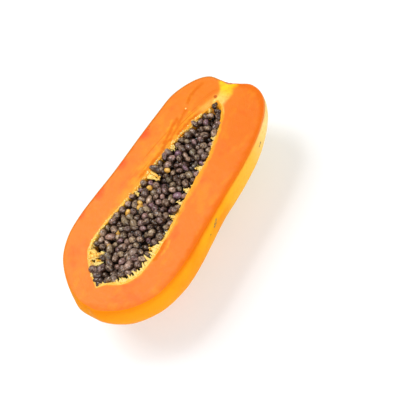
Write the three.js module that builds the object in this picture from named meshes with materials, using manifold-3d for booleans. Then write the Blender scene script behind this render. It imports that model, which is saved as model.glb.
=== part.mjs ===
// Half of a ripe papaya, cut lengthwise beside its axis. It lies on its skin with the cut face
// level and upward, and its seed cavity is still lined and full of seeds.
// Millimetres, +Z up, +X toward the stem end, +Y toward the left rim of the half.
//
// Everything is shaped in the fruit's own frame first: x runs from the blossom tip to the stem,
// y = 0 is the fruit's axis and z = 0 is the cut face. The last lines set it down on its base.

import * as THREE from 'three';
import { ParametricGeometry } from 'three/addons/geometries/ParametricGeometry.js';
import { mergeVertices } from 'three/addons/utils/BufferGeometryUtils.js';
import Module from 'manifold-3d';

const wasm = await Module();
wasm.setup();

// ---------------------------------------------------------------- driving dimensions

const CUT_HEIGHT = 67.65; // cut face above the surface that the half lies on
const GAP = 0.35; // clearance kept between flesh, lining and seeds
const LINING = 1.3; // thickness of the yellow lining of the cavity
const LINING_TOP = -0.25; // rim of the lining, just under the cut face
const SKIN_LOBE = 0.009; // depth of the five faint ridges, as a share of the radius
const CAVITY_LOBE = 0.05; // the same for the five-sided cavity

const SEED_SPACING = 6.8;
const SEED_SIZE = new THREE.Vector3(3.7, 3.15, 3.05); // half axes
const SEED_HEIGHT = -2.4; // usual height of a seed's middle
const SEED_SCATTER = 1.7; // how far a seed sits above or below its neighbours
const HEAP_DROP = 3.6; // how much lower the seeds lie along the left wall at the blossom end
const CORE_DEPTH = 0.7; // top of the packed core below the middles of the seeds
const FRINGE_ROOM = 3.4; // extra room for the fringe along the right wall at the blossom end

const TOOTH_STEP = 2.7; // spacing of the fibres that stand in from the lining
const TOOTH_RADIUS = 0.65;
const TOOTH_LENGTH = 4.8;
const TOOTH_SHORTEST = 1.2;
const TOOTH_HEIGHT = -1.4;
const LUMP_HEIGHT = -1.8;

// ---------------------------------------------------------------- outlines, stem to blossom

// The four meridians of the skin that share one set of stations: both rims of the cut face
// (x, y), the flank between rim and keel, and the keel underneath (x, distance from the axis).
const SKIN = {
  left: [
    [237.4, 4], [237.8, 12.5], [236.9, 26.3], [226.4, 38.4], [207.2, 48.2], [183.5, 50.9],
    [157, 52.8], [119.5, 54.8], [92.5, 57.5], [69, 59.1], [48, 57.3], [28, 48.6], [11, 31],
    [2, 13], [0, 0],
  ],
  right: [
    [237.4, 4], [241, -5.5], [244.3, -18], [239.2, -32.3], [224.6, -43.6], [200, -51.3],
    [172, -54.6], [136, -55.8], [104, -57.4], [76, -58.8], [53, -57.6], [31.6, -51.2], [13, -35.3],
    [1.4, -13.8], [0, 0],
  ],
  flank: [
    [237.4, 0], [238.4, 10.1], [239, 26.2], [230.7, 39.9], [212.8, 50.4], [189.3, 56],
    [161.8, 58.8], [125.3, 59.2], [96.2, 64.6], [68.8, 67.9], [45.1, 64.4], [23.2, 54.4],
    [5.2, 39.4], [-5.6, 18], [0, 0],
  ],
  keel: [
    [237.4, 0], [238.9, 10.3], [240, 27], [232, 41.5], [214, 52.5], [191, 59.5], [164, 64.6],
    [128, 67.5], [99, 67.1], [71.5, 65.6], [48, 62.2], [27, 54.6], [9, 40.4], [-2, 19.8], [0, 0],
  ],
};

// The seed cavity in the same way, from its tip at the stem to its tip at the blossom end.
const CAVITY_KEEL = [
  [219, 0], [211, 6.6], [196, 15], [181, 20], [163, 23.6], [140, 26], [114, 28.4], [90, 31],
  [66, 33], [46, 30], [32, 20], [23, 7], [18.8, 0],
];
const CAVITY = {
  left: [
    [219, 4.2], [208.5, 8.6], [194, 13.6], [180, 16.8], [163, 20.6], [140, 23.6], [114, 25.6],
    [90, 29.4], [66, 33.4], [46, 31.4], [31, 19.4], [23, 8.4], [18.8, 3.2],
  ],
  right: [
    [219, 4.2], [212.8, -5.2], [198, -13], [182, -17.7], [163, -21.6], [140, -23], [114, -25.4],
    [90, -27.8], [66, -28.6], [47, -26.6], [32, -17.2], [25.2, -3.4], [18.8, 3.2],
  ],
  flank: CAVITY_KEEL,
  keel: CAVITY_KEEL,
};

// Lumps of lining that reach in between the seeds: x and y of the tip, and half the width.
const LUMPS = [
  [130, 10, 2.6], [48.5, 16, 2.3], [41.5, 11.5, 2.3], [37, 20, 2.6], [118, -19, 2],
  [131, -16.5, 1.9], [154, -15.5, 2.3], [184, -11, 1.5], [161, 14, 1.7], [71.5, -20.5, 3],
  [103.5, -20, 1.9], [109.5, 20, 1.3],
];

// ---------------------------------------------------------------- helpers

// Closed mesh as a solid: shared vertices joined, triangles that shrink to a line left out.
function solidOf(geometry) {
  const welded = weld(geometry);
  return new wasm.Manifold(
    new wasm.Mesh({
      numProp: 3,
      vertProperties: welded.attributes.position.array,
      triVerts: welded.index.array,
    }),
  );
}

function weld(geometry) {
  const bare = geometry.clone();
  bare.deleteAttribute('normal');
  bare.deleteAttribute('uv');
  const welded = mergeVertices(bare, 1e-4);
  const index = welded.index.array;
  const kept = [];
  for (let i = 0; i < index.length; i += 3) {
    const [a, b, c] = index.slice(i, i + 3);
    if (a !== b && b !== c && c !== a) kept.push(a, b, c);
  }
  welded.setIndex(new THREE.BufferAttribute(new Uint32Array(kept), 1));
  return welded;
}

function meshOf(name, solid, color, roughness) {
  const { vertProperties, triVerts } = solid.getMesh();
  const geometry = new THREE.BufferGeometry();
  geometry.setAttribute('position', new THREE.BufferAttribute(vertProperties, 3));
  geometry.setIndex(new THREE.BufferAttribute(triVerts, 1));
  geometry.computeVertexNormals();
  const material = new THREE.MeshStandardMaterial({ color, roughness, metalness: 0 });
  const mesh = new THREE.Mesh(geometry, material);
  mesh.name = name;
  return mesh;
}

// Block over the whole fruit between two heights, to trim solids with.
function slab(bottom, top) {
  const block = new THREE.BoxGeometry(400, 300, top - bottom);
  block.translate(120, 0, (bottom + top) / 2);
  return solidOf(block);
}

// Even random numbers from 0 to 1, the same ones every time.
function randomSource(seed) {
  let state = seed;
  return () => {
    state = (Math.imul(state, 1664525) + 1013904223) >>> 0;
    return state / 4294967296;
  };
}

// ---------------------------------------------------------------- fruit-shaped surfaces

// Closed surface through a left rim, a right rim and a keel. The part above the cut face mirrors
// the part below, and is trimmed off later.
function fruitSurface(outline, lobe, rings, sides) {
  const curves = {};
  for (const [name, points] of Object.entries(outline)) {
    curves[name] = new THREE.SplineCurve(points.map(([x, y]) => new THREE.Vector2(x, y)));
  }
  const surface = (u, v, target) => {
    const left = curves.left.getPoint(1 - u);
    const right = curves.right.getPoint(1 - u);
    const flank = curves.flank.getPoint(1 - u);
    const keel = curves.keel.getPoint(1 - u);
    const angle = 2 * Math.PI * v;
    const side = Math.cos(angle);
    const down = Math.abs(Math.sin(angle));
    const low = down ** 4;
    const middle = (left.x + right.x) / 2;
    const half = (left.y - right.y) / 2;
    const x = middle + ((left.x - right.x) / 2) * side + (flank.x - middle) * down;
    const radius = half + (flank.y - half) * down + (keel.y - flank.y) * low;
    const ridge = 1 + lobe * down * down * Math.cos(5 * (angle - Math.PI / 2));
    target.set(
      x + (keel.x - flank.x) * low,
      (left.y + right.y) / 2 + radius * ridge * side,
      -radius * ridge * Math.sin(angle),
    );
  };
  return new ParametricGeometry(surface, rings, sides);
}

// Copy of a closed surface with every wall moved inward by the same distance.
function inset(geometry, distance) {
  const shell = weld(geometry);
  shell.computeVertexNormals();
  const { position, normal } = shell.attributes;
  const slant = new Array(position.count).fill(1);
  const corner = new THREE.Triangle();
  const facet = new THREE.Vector3();
  const outward = new THREE.Vector3();
  const index = shell.index.array;
  for (let i = 0; i < index.length; i += 3) {
    const trio = index.slice(i, i + 3);
    corner.setFromAttributeAndIndices(position, ...trio);
    corner.getNormal(facet);
    for (const vertex of trio) {
      outward.fromBufferAttribute(normal, vertex);
      slant[vertex] = Math.min(slant[vertex], Math.max(outward.dot(facet), 0.4));
    }
  }
  const point = new THREE.Vector3();
  for (let i = 0; i < position.count; i++) {
    outward.fromBufferAttribute(normal, i);
    point.fromBufferAttribute(position, i).addScaledVector(outward, -distance / slant[i]);
    position.setXYZ(i, point.x, point.y, point.z);
  }
  return shell;
}

// ---------------------------------------------------------------- layout of the seeds

const cavityEdge = (() => {
  const steps = 30;
  const left = new THREE.SplineCurve(CAVITY.left.map(([x, y]) => new THREE.Vector2(x, y)));
  const right = new THREE.SplineCurve(CAVITY.right.map(([x, y]) => new THREE.Vector2(x, y)));
  const out = Array.from({ length: steps }, (_, i) => left.getPoint(i / steps));
  const back = Array.from({ length: steps }, (_, i) => right.getPoint(1 - i / steps));
  return [...out, ...back];
})();

function nearestOnSegment(point, start, end) {
  const along = end.clone().sub(start);
  const share = point.clone().sub(start).dot(along) / along.lengthSq();
  return start.clone().addScaledVector(along, THREE.MathUtils.clamp(share, 0, 1));
}

// Nearest point of the cavity's edge, how far inside it the point lies, and the way inward.
function wallAt(point) {
  let nearest = null;
  let best = Infinity;
  let inside = false;
  cavityEdge.forEach((start, i) => {
    const end = cavityEdge[(i + 1) % cavityEdge.length];
    const candidate = nearestOnSegment(point, start, end);
    const distance = candidate.distanceTo(point);
    if (distance < best) {
      best = distance;
      nearest = candidate;
    }
    const crosses = start.y > point.y !== end.y > point.y;
    const reach = ((end.x - start.x) * (point.y - start.y)) / (end.y - start.y) + start.x;
    if (crosses && point.x < reach) inside = !inside;
  });
  const inward = point.clone().sub(nearest).normalize().multiplyScalar(inside ? 1 : -1);
  return { nearest, inward, depth: inside ? best : -best };
}

// Distance kept between the cavity's edge and the middle of a seed.
function seedMargin(point) {
  const { smoothstep } = THREE.MathUtils;
  const fringe = smoothstep(-point.y, 2, 9) * (1 - smoothstep(point.x, 70, 84));
  return 2 * GAP + LINING + SEED_SIZE.y + FRINGE_ROOM * fringe;
}

// Height of the heap of seeds, measured at their middles.
function heapHeight(x, y) {
  const { smoothstep } = THREE.MathUtils;
  const low = smoothstep(y, 0, 24) * (1 - smoothstep(x, 55, 100));
  return SEED_HEIGHT - HEAP_DROP * low;
}

const lumps = LUMPS.map(([x, y, radius]) => {
  const tip = new THREE.Vector2(x, y);
  return { tip, radius, root: wallAt(tip).nearest };
});

// Evenly spaced points along the cavity's edge.
function spacedAlongEdge(spacing) {
  const next = (i) => cavityEdge[(i + 1) % cavityEdge.length];
  const lengths = cavityEdge.map((start, i) => start.distanceTo(next(i)));
  const total = lengths.reduce((sum, length) => sum + length, 0);
  const count = Math.floor(total / spacing);
  const points = [];
  let side = 0;
  let passed = 0;
  for (let k = 0; k < count; k++) {
    const goal = (total * k) / count;
    while (passed + lengths[side] < goal) {
      passed += lengths[side];
      side += 1;
    }
    points.push(cavityEdge[side].clone().lerp(next(side), (goal - passed) / lengths[side]));
  }
  return points;
}

// Seeds start in a row along the wall and on a loose triangular grid inside it.
function firstPlaces(random) {
  const places = spacedAlongEdge(1.06 * SEED_SPACING).map((foot) => {
    const middle = new THREE.Vector2(THREE.MathUtils.clamp(foot.x, 32, 200), 1);
    const inward = middle.sub(foot).normalize();
    return foot.clone().addScaledVector(inward, seedMargin(foot));
  });
  const wallRow = places.slice();
  const rowStep = SEED_SPACING * 0.866;
  for (let row = 0; row < 12; row++) {
    for (let column = 0; column < 36; column++) {
      const shift = row % 2 ? 0.5 : 0;
      const x = 12 + (column + shift) * SEED_SPACING + (random() - 0.5) * 3;
      const y = (row - 5.5) * rowStep + (random() - 0.5) * 3;
      const place = new THREE.Vector2(x, y);
      const open = wallRow.every((other) => other.distanceTo(place) > 0.72 * SEED_SPACING);
      if (open && wallAt(place).depth > seedMargin(place)) places.push(place);
    }
  }
  return places;
}

// Then they push each other, the wall and the lumps away until they lie side by side.
function layOutSeeds() {
  const random = randomSource(20417);
  const seeds = firstPlaces(random);
  for (let round = 0; round < 30; round++) {
    for (let i = 0; i < seeds.length; i++) {
      for (let j = i + 1; j < seeds.length; j++) {
        const apart = seeds[j].clone().sub(seeds[i]);
        const overlap = SEED_SPACING - apart.length();
        if (overlap <= 0) continue;
        apart.setLength(overlap * 0.35);
        seeds[j].add(apart);
        seeds[i].sub(apart);
      }
    }
    for (const seed of seeds) {
      for (const { tip, root, radius } of lumps) {
        const away = seed.clone().sub(nearestOnSegment(seed, root, tip));
        const overlap = radius + GAP + SEED_SIZE.y - away.length();
        if (overlap > 0) seed.add(away.setLength(overlap));
      }
      const { inward, depth } = wallAt(seed);
      const overlap = seedMargin(seed) - depth;
      if (overlap > 0) seed.addScaledVector(inward, overlap);
    }
  }
  return seeds.map((seed) => {
    const height = heapHeight(seed.x, seed.y) + (random() - 0.5) * 2 * SEED_SCATTER;
    const turn = new THREE.Euler(random() * 6.283, random() * 6.283, random() * 6.283);
    const size = 0.92 + random() * 0.14;
    return { middle: new THREE.Vector3(seed.x, seed.y, height), turn, size };
  });
}

// ---------------------------------------------------------------- flesh with its skin

const cavitySurface = fruitSurface(CAVITY, CAVITY_LOBE, 32, 28);
const coreSurface = fruitSurface(CAVITY, CAVITY_LOBE, 24, 20);

function makeFruitHalf() {
  const whole = solidOf(fruitSurface(SKIN, SKIN_LOBE, 54, 52));
  return whole
    .subtract(slab(0, 120))
    .subtract(slab(-120, -CUT_HEIGHT))
    .subtract(solidOf(cavitySurface));
}

// ---------------------------------------------------------------- lining with its fringe

function tapered(from, to, radius, sides) {
  const reach = to.clone().sub(from);
  const cone = new THREE.ConeGeometry(radius, reach.length(), sides);
  cone.translate(0, reach.length() / 2, 0);
  const turn = new THREE.Quaternion().setFromUnitVectors(
    new THREE.Vector3(0, 1, 0),
    reach.normalize(),
  );
  return cone.applyQuaternion(turn).translate(from.x, from.y, from.z);
}

// Longest fibre up to the wanted length that stays clear of the seeds, or 0 if there is no room.
function freeLength(root, inward, wanted, seeds) {
  const clear = 1.06 * SEED_SIZE.x + GAP + TOOTH_RADIUS;
  for (let length = wanted; length > TOOTH_SHORTEST; length -= 0.2) {
    const tip = root.clone().addScaledVector(inward, length);
    const blocked = seeds.some(({ middle }) => {
      const seed = new THREE.Vector2(middle.x, middle.y);
      return nearestOnSegment(seed, root, tip).distanceTo(seed) < clear;
    });
    if (!blocked && wallAt(tip).depth > 0.6 * length) return length;
  }
  return 0;
}

// Fibres stand in from the wall wherever the seeds leave them room.
function fringeTeeth(seeds) {
  const random = randomSource(977);
  const teeth = [];
  cavityEdge.forEach((start, i) => {
    const end = cavityEdge[(i + 1) % cavityEdge.length];
    const along = end.clone().sub(start);
    const inward = new THREE.Vector2(-along.y, along.x).normalize();
    const count = Math.max(1, Math.round(along.length() / TOOTH_STEP));
    for (let k = 0; k < count; k++) {
      const root = start.clone().addScaledVector(along, (k + 0.5) / count);
      root.addScaledVector(inward, GAP + 0.5 * LINING);
      const wanted = TOOTH_LENGTH * (0.6 + 0.4 * random());
      const height = TOOTH_HEIGHT + (random() - 0.5) * 1.2;
      const length = freeLength(root, inward, wanted, seeds);
      if (length === 0) continue;
      const tip = root.clone().addScaledVector(inward, length);
      const foot = new THREE.Vector3(root.x, root.y, height);
      teeth.push(tapered(foot, new THREE.Vector3(tip.x, tip.y, height + 0.5), TOOTH_RADIUS, 5));
    }
  });
  return teeth;
}

// Lump of lining from the wall to its tip, swollen by a clearance where the seeds make room for it.
function lumpSurface({ tip, root, radius }, clearance) {
  const reach = tip.clone().sub(root);
  const width = radius + clearance;
  const lump = new THREE.IcosahedronGeometry(1);
  lump.scale(reach.length() / 2 + width, width, 0.9 * radius + clearance);
  lump.rotateZ(reach.angle());
  return lump.translate((tip.x + root.x) / 2, (tip.y + root.y) / 2, LUMP_HEIGHT);
}

function makePlacenta(seeds) {
  const outer = solidOf(inset(cavitySurface, GAP));
  const inner = solidOf(inset(cavitySurface, GAP + LINING));
  const additions = [];
  for (const lump of lumps) additions.push(lumpSurface(lump, 0));
  additions.push(...fringeTeeth(seeds));
  let lining = outer.subtract(inner).subtract(slab(LINING_TOP, 120));
  for (const addition of additions) lining = lining.add(solidOf(addition));
  return lining.intersect(outer);
}

// ---------------------------------------------------------------- seeds on their packed core

function makeSeeds(seeds) {
  const room = solidOf(inset(coreSurface, 2.9 * GAP + LINING));
  const lid = new THREE.BoxGeometry(240, 80, 60, 24, 8, 1);
  lid.translate(120, 0, 30);
  const { position } = lid.attributes;
  for (let i = 0; i < position.count; i++) {
    if (position.getZ(i) > 0) continue;
    position.setZ(i, heapHeight(position.getX(i), position.getY(i)) - CORE_DEPTH);
  }
  let heap = room.subtract(solidOf(lid));
  for (const { middle, turn, size } of seeds) {
    const seed = new THREE.IcosahedronGeometry(size);
    seed.scale(SEED_SIZE.x, SEED_SIZE.y, SEED_SIZE.z);
    seed.applyQuaternion(new THREE.Quaternion().setFromEuler(turn));
    seed.translate(middle.x, middle.y, middle.z);
    heap = heap.add(solidOf(seed));
  }
  for (const lump of lumps) heap = heap.subtract(solidOf(lumpSurface(lump, 1.6 * GAP)));
  return heap.intersect(room);
}

// ---------------------------------------------------------------- the papaya half

const seedLayout = layOutSeeds();
const group = new THREE.Group();
group.name = 'papaya_half';
group.add(
  meshOf('fruit_half', makeFruitHalf(), 0xfd9144, 0.55),
  meshOf('placenta', makePlacenta(seedLayout), 0xfccf63, 0.6),
  meshOf('seeds', makeSeeds(seedLayout), 0x35291f, 0.35),
);

// Set the half down with its base at z = 0 under the middle of its outline.
const outlineBox = new THREE.Box3().setFromObject(group);
const centre = outlineBox.getCenter(new THREE.Vector3());
for (const mesh of group.children) mesh.geometry.translate(-centre.x, -centre.y, CUT_HEIGHT);

export default group;
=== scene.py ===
"""A papaya half on its skin, built as an add-on: flesh, skin, lining, fringe, seeds and a stage."""

import math
from functools import reduce

import bmesh
import bpy
import numpy as np
from bpy.props import FloatProperty, FloatVectorProperty, IntProperty, PointerProperty
from bpy.types import Operator, Panel, PropertyGroup
from mathutils import Matrix, Vector, noise


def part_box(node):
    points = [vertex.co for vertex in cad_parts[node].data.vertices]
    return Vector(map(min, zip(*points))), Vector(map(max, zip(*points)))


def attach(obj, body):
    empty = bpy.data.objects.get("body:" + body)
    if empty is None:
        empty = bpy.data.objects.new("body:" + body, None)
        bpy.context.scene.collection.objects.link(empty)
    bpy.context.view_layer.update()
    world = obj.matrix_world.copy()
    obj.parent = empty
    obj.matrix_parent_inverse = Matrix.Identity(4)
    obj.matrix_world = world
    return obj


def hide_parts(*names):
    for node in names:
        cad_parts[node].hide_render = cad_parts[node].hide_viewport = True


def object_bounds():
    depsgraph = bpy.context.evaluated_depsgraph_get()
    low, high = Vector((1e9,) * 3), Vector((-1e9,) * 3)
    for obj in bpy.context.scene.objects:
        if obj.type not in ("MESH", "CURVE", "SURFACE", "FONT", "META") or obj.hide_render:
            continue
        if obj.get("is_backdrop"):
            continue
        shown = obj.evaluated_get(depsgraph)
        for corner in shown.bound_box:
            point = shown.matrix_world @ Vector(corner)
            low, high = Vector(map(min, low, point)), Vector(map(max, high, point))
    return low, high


bl_info = {
    "name": "Papaya half",
    "version": (1, 0, 0),
    "blender": (4, 5, 0),
    "location": "3D View > Sidebar > Papaya",
    "description": "Builds a papaya half with its lining, fringe and seeds",
    "category": "Object",
}

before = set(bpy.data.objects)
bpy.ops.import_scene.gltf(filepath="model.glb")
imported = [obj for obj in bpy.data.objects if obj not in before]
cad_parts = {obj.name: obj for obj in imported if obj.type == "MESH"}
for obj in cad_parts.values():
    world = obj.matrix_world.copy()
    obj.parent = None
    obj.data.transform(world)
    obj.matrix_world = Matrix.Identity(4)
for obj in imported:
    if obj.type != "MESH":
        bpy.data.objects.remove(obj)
CAD_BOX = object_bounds()

# ------------------------------------------------------------------ shape, in millimetres
# The fruit's own frame: x from the blossom tip to the stem, y toward the left rim,
# z = 0 on the cut face.

MM = 0.001
FULL_TURN = 6.283  # radians
LINING = 1.3  # thickness of the lining, and the gap behind it
GAP = 0.35
SKIN_LOBE = 0.009  # how far the five lobes stand out, as a share of the radius
CAVITY_LOBE = 0.05
SEED_SPACING = 6.8
SEED_SIZE = (3.7, 3.15, 3.05)  # half axes
SEED_HEIGHT = -2.4  # middle of the heap's top layer
SEED_TOP = 4.25  # no seed reaches higher than this above the cut face
SEED_SCATTER = 1.7  # how far a seed may lie above or below its place in the heap
HEAP_DROP = 3.6  # how far the heap sinks by the left wall at the blossom end
# Where the heap sinks, where the left wall stands bare and where the fringe is widest: the
# range across the fruit in which each sets in, and the range along it in which it ends.
SUNK_ACROSS, SUNK_ALONG = (0, 24), (55, 100)
BARE_ACROSS, BARE_ALONG = (4, 16), (85, 125)
FRAYED_ACROSS, FRAYED_ALONG = (2, 9), (70, 84)
FRINGE_ROOM = 3.4  # room for the widest fringe between the wall and the seeds
LUMP_HEIGHT = -1.8  # middle of the lumps of lining
HEAP_AXIS, HEAP_ENDS = 1, (32, 200)  # y and ends of the heap's middle line
# Layout of the seeds: shares of the spacing, the grid's size and start, and how they spread.
WALL_ROW_STEP, CLEAR_OF_WALL_ROW, ROW_STEP = 1.06, 0.72, 0.866
ROWS_OF_SEEDS, SEEDS_IN_ROW, FIRST_COLUMN = 12, 36, 12
PLAY, PUSH, SPREAD_ROUNDS = 3, 0.35, 30
# Start of each row of random numbers.
DRAWS = {
    "layout": 20417, "heaps": 4021, "below": 733, "golden": 61, "tips": 209, "fringe": 5077,
    "lumps": 911,
}

# Outlines from the stem to the blossom tip: the two rims of the cut as x and y, and the flank
# and the keel, which the sides bulge to, as x and depth.
SKIN = {
    "left": (
        (237.4, 4), (237.8, 12.5), (236.9, 26.3), (226.4, 38.4), (207.2, 48.2), (183.5, 50.9),
        (157, 52.8), (119.5, 54.8), (92.5, 57.5), (69, 59.1), (48, 57.3), (28, 48.6), (11, 31),
        (2, 13), (0, 0),
    ),
    "right": (
        (237.4, 4), (241, -5.5), (244.3, -18), (239.2, -32.3), (224.6, -43.6), (200, -51.3),
        (172, -54.6), (136, -55.8), (104, -57.4), (76, -58.8), (53, -57.6), (31.6, -51.2),
        (13, -35.3), (1.4, -13.8), (0, 0),
    ),
    "flank": (
        (237.4, 0), (238.4, 10.1), (239, 26.2), (230.7, 39.9), (212.8, 50.4), (189.3, 56),
        (161.8, 58.8), (125.3, 59.2), (96.2, 64.6), (68.8, 67.9), (45.1, 64.4), (23.2, 54.4),
        (5.2, 39.4), (-5.6, 18), (0, 0),
    ),
    "keel": (
        (237.4, 0), (238.9, 10.3), (240, 27), (232, 41.5), (214, 52.5), (191, 59.5), (164, 64.6),
        (128, 67.5), (99, 67.1), (71.5, 65.6), (48, 62.2), (27, 54.6), (9, 40.4), (-2, 19.8),
        (0, 0),
    ),
}
CAVITY_KEEL = (
    (219, 0), (211, 6.6), (196, 15), (181, 20), (163, 23.6), (140, 26), (114, 28.4), (90, 31),
    (66, 33), (46, 30), (32, 20), (23, 7), (18.8, 0),
)
CAVITY = {
    "left": (
        (219, 4.2), (208.5, 8.6), (194, 13.6), (180, 16.8), (163, 20.6), (140, 23.6), (114, 25.6),
        (90, 29.4), (66, 33.4), (46, 31.4), (31, 19.4), (23, 8.4), (18.8, 3.2),
    ),
    "right": (
        (219, 4.2), (212.8, -5.2), (198, -13), (182, -17.7), (163, -21.6), (140, -23),
        (114, -25.4), (90, -27.8), (66, -28.6), (47, -26.6), (32, -17.2), (25.2, -3.4), (18.8, 3.2),
    ),
    "flank": CAVITY_KEEL,
    "keel": CAVITY_KEEL,
}
# Lumps of lining between the seeds: x and y of the tip, and half the width.
LUMPS = (
    (130, 10, 2.6), (48.5, 16, 2.3), (41.5, 11.5, 2.3), (37, 20, 2.6), (118, -19, 2),
    (131, -16.5, 1.9), (154, -15.5, 2.3), (184, -11, 1.5), (161, 14, 1.7), (71.5, -20.5, 3),
    (103.5, -20, 1.9), (109.5, 20, 1.3),
)
# How pale each lump is, from golden to cream.
LUMP_PALENESS = (0.14, 0.7, 0.65, 0.05, 0.8, 0.7, 0.3, 0.8, 0.7, 0.05, 0.2, 0.95)
# Longest teeth of the fringe: root, tip and half the width.
TEETH = (
    ((60.6, -28), (62.8, -18.9), 1.1), ((66.2, -28), (66.6, -21.5), 1.2),
    ((56.2, -27.2), (57.4, -23.6), 1.2), ((52.2, -26.8), (56.2, -21.8), 1.0),
    ((49.6, -26.6), (50.6, -23), 1.1), ((46.6, -26), (48.8, -21.4), 1.1),
    ((43.4, -24.8), (45.4, -17.6), 1.2), ((40.4, -23.4), (42.6, -19.4), 1.1),
    ((38.2, -22), (42.1, -13.8), 1.1), ((35.8, -20.2), (37.4, -15.6), 1.2),
    ((33.8, -18.2), (36.4, -11), 1.2), ((32, -15.8), (34.4, -11.6), 1.1),
    ((30.2, -13), (33.4, -7.4), 1.1), ((29, -10), (31.4, -6.6), 0.9),
    ((75.6, -28), (75.2, -23.6), 1.2), ((79.8, -27.8), (79.2, -22.6), 1.2),
    ((84.4, -27.8), (83.4, -24), 1.1), ((89.6, -27.4), (88.8, -24.2), 1.0),
)
# Small dark seeds, most of them in the two narrow ends: place and size.
TIP_SEEDS = (
    ((22.8, 4.1, -1.5), 0.78), ((20.6, 3.5, -1.2), 0.46), ((27, -1, -1.3), 0.72),
    ((24.6, 7.2, -1.8), 0.86), ((27.6, 11.2, -2), 0.8), ((24.4, 4.4, -4.6), 0.8),
    ((28.2, -2.6, -4.2), 0.8), ((44.6, 14.6, -1.9), 1.0), ((48, 11, -2.4), 0.9),
    ((53.4, 21.7, -2.3), 0.95), ((199, -9.9, -1.4), 0.74), ((214.8, 4.1, -1.6), 0.55),
    ((204.4, -6.2, -1.2), 0.7), ((209.4, -2.7, -1.3), 0.66), ((209.6, -0.6, -4.4), 0.85),
    ((205.6, -4.6, -4.2), 0.85),
)
# Soft golden blocks of lining by the left wall, and the pale strips that edge them.
BLOCKS = (
    ((45.8, 25.2, -1.5), 2.1), ((43.8, 22.2, -1.3), 2.1), ((42.2, 25, -1.4), 2.0),
    ((45.4, 20.2, -1.4), 1.5), ((40.6, 22.8, -1.6), 1.6), ((40.4, 18, -2), 1.7),
    ((41.8, 15.6, -2.6), 1.5), ((207.4, 6.4, -2.2), 1.9),
)
STRIPS = (((38.2, 27.2), (40.6, 19.6), 0.7), ((49, 20), (50.8, 12.6), 0.7))
# Places of the small undeveloped seeds that stayed golden.
GOLDEN = ((115.6, 14.4), (104.7, 14.8), (91.8, 17.2), (96.8, 8.1), (140.2, 9.8), (70, 16), (58, 18))

# Marks of the cut face: a small brown pit, and flecks with their radius and colour.
PIT = (221.3, 8.2, -0.3)
FLECKS = (
    ((200.1, 27.8, -0.3), 1.0, (255, 216, 140)), ((217.8, 6.9, -0.3), 1.2, (255, 216, 120)),
    ((168, 49.4, -0.3), 0.9, (196, 52, 14)), ((171, 49.8, -0.3), 0.8, (200, 70, 20)),
)
# Fibres cut lengthwise beside the cavity: darker lines, then paler ones.
DARK_STREAKS = (
    ((197.6, 26.8), (191.3, 26), (182.8, 24.8), (176.5, 24), (167.8, 23.7), (160.8, 24.7),
     (152.1, 24.6), (143.1, 25.6), (134.5, 26.4), (125.6, 28.6)),
    ((213, 8.6), (205.2, 11.4), (198.7, 14), (191.9, 16.6), (183.6, 18.6), (175.4, 20.2)),
    ((227, 28.4), (221, 30.1), (213.9, 31), (205.4, 29.8)),
    ((187.7, 29.3), (181, 29.3), (170.5, 27.9), (162.2, 26.7)),
    ((81.4, -30.2), (70.8, -31.6), (63, -31.4)),
)
PALE_STREAKS = (
    ((198.3, 22.2), (193.9, 22.1), (187.3, 22.1), (178, 21.6)),
    ((185, 33.2), (179.9, 32.1), (171.9, 30)),
    ((84, -33.4), (77, -35.4), (69.2, -34.4)),
)
# Width of the golden flesh beside the cavity at places along the fruit.
HALO_PLACES = (15, 40, 70, 100, 130, 160, 190, 216)
HALO_LEFT = (1.6, 1.7, 2.2, 6.2, 13.0, 15.5, 13.0, 7.0)
HALO_RIGHT = (1.6, 2.6, 4.0, 4.2, 4.0, 3.0, 1.9, 2.2)
# Middle and half width of the yellow wedge between the cavity and the notch.
WEDGE_PLACES = (212, 218, 223.5, 229.5, 234.5, 238)
WEDGE_MIDDLE = (2.0, 2.3, 1.2, 1.4, 4.8, 5.2)
WEDGE_HALF = (6.6, 6.8, 6.6, 7.8, 9.0, 11.0)
# Redder spots at the dents of the left rim, painted shade of the creases there: place, radius and
# strength.
PAINTED_DENT_SHADES = (
    ((162.6, 51.6, 0), 11, 1.0), ((128.8, 53.8, 0), 10, 0.9), ((95.2, 57.2, 0), 10, 0.8),
    ((70, 60.2, 0), 8, 0.8),
)
# Marks of the skin: place, radius and colour.
SCARS = (
    ((200.3, -50.6, -10.9), 2.4, (92, 72, 54)), ((197.6, -51.2, -11.4), 1.8, (120, 92, 60)),
    ((119.8, -56.2, -7.6), 2.6, (112, 100, 82)), ((117.2, -56.5, -9.8), 3.2, (104, 94, 76)),
    ((114.6, -56.7, -11.4), 2.2, (124, 108, 72)), ((106.7, -57.1, -12.8), 1.8, (110, 84, 50)),
    ((-1.8, 7.6, -6.9), 1.5, (112, 104, 50)),
)


def smoothstep(value, low, high):
    """0 below low, 1 above high, and a smooth rise between."""
    share = np.clip((np.asarray(value, float) - low) / (high - low), 0.0, 1.0)
    return share * share * (3 - 2 * share)


def spline(points, t):
    """Points of an even Catmull-Rom curve at parameters t from 0 to 1."""
    points = np.array(points, float)
    last = len(points) - 1
    place = np.clip(np.asarray(t, float), 0, 1) * last
    index = np.minimum(place.astype(int), last - 1)
    share = (place - index)[..., None]
    before, start = points[np.maximum(index - 1, 0)], points[index]
    end, after = points[index + 1], points[np.minimum(index + 2, last)]
    leave, arrive = (end - before) / 2, (after - start) / 2
    cubic = (2 * start - 2 * end + leave + arrive) * share**3
    square = (-3 * start + 3 * end - 2 * leave - arrive) * share**2
    return cubic + square + leave * share + start


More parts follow.
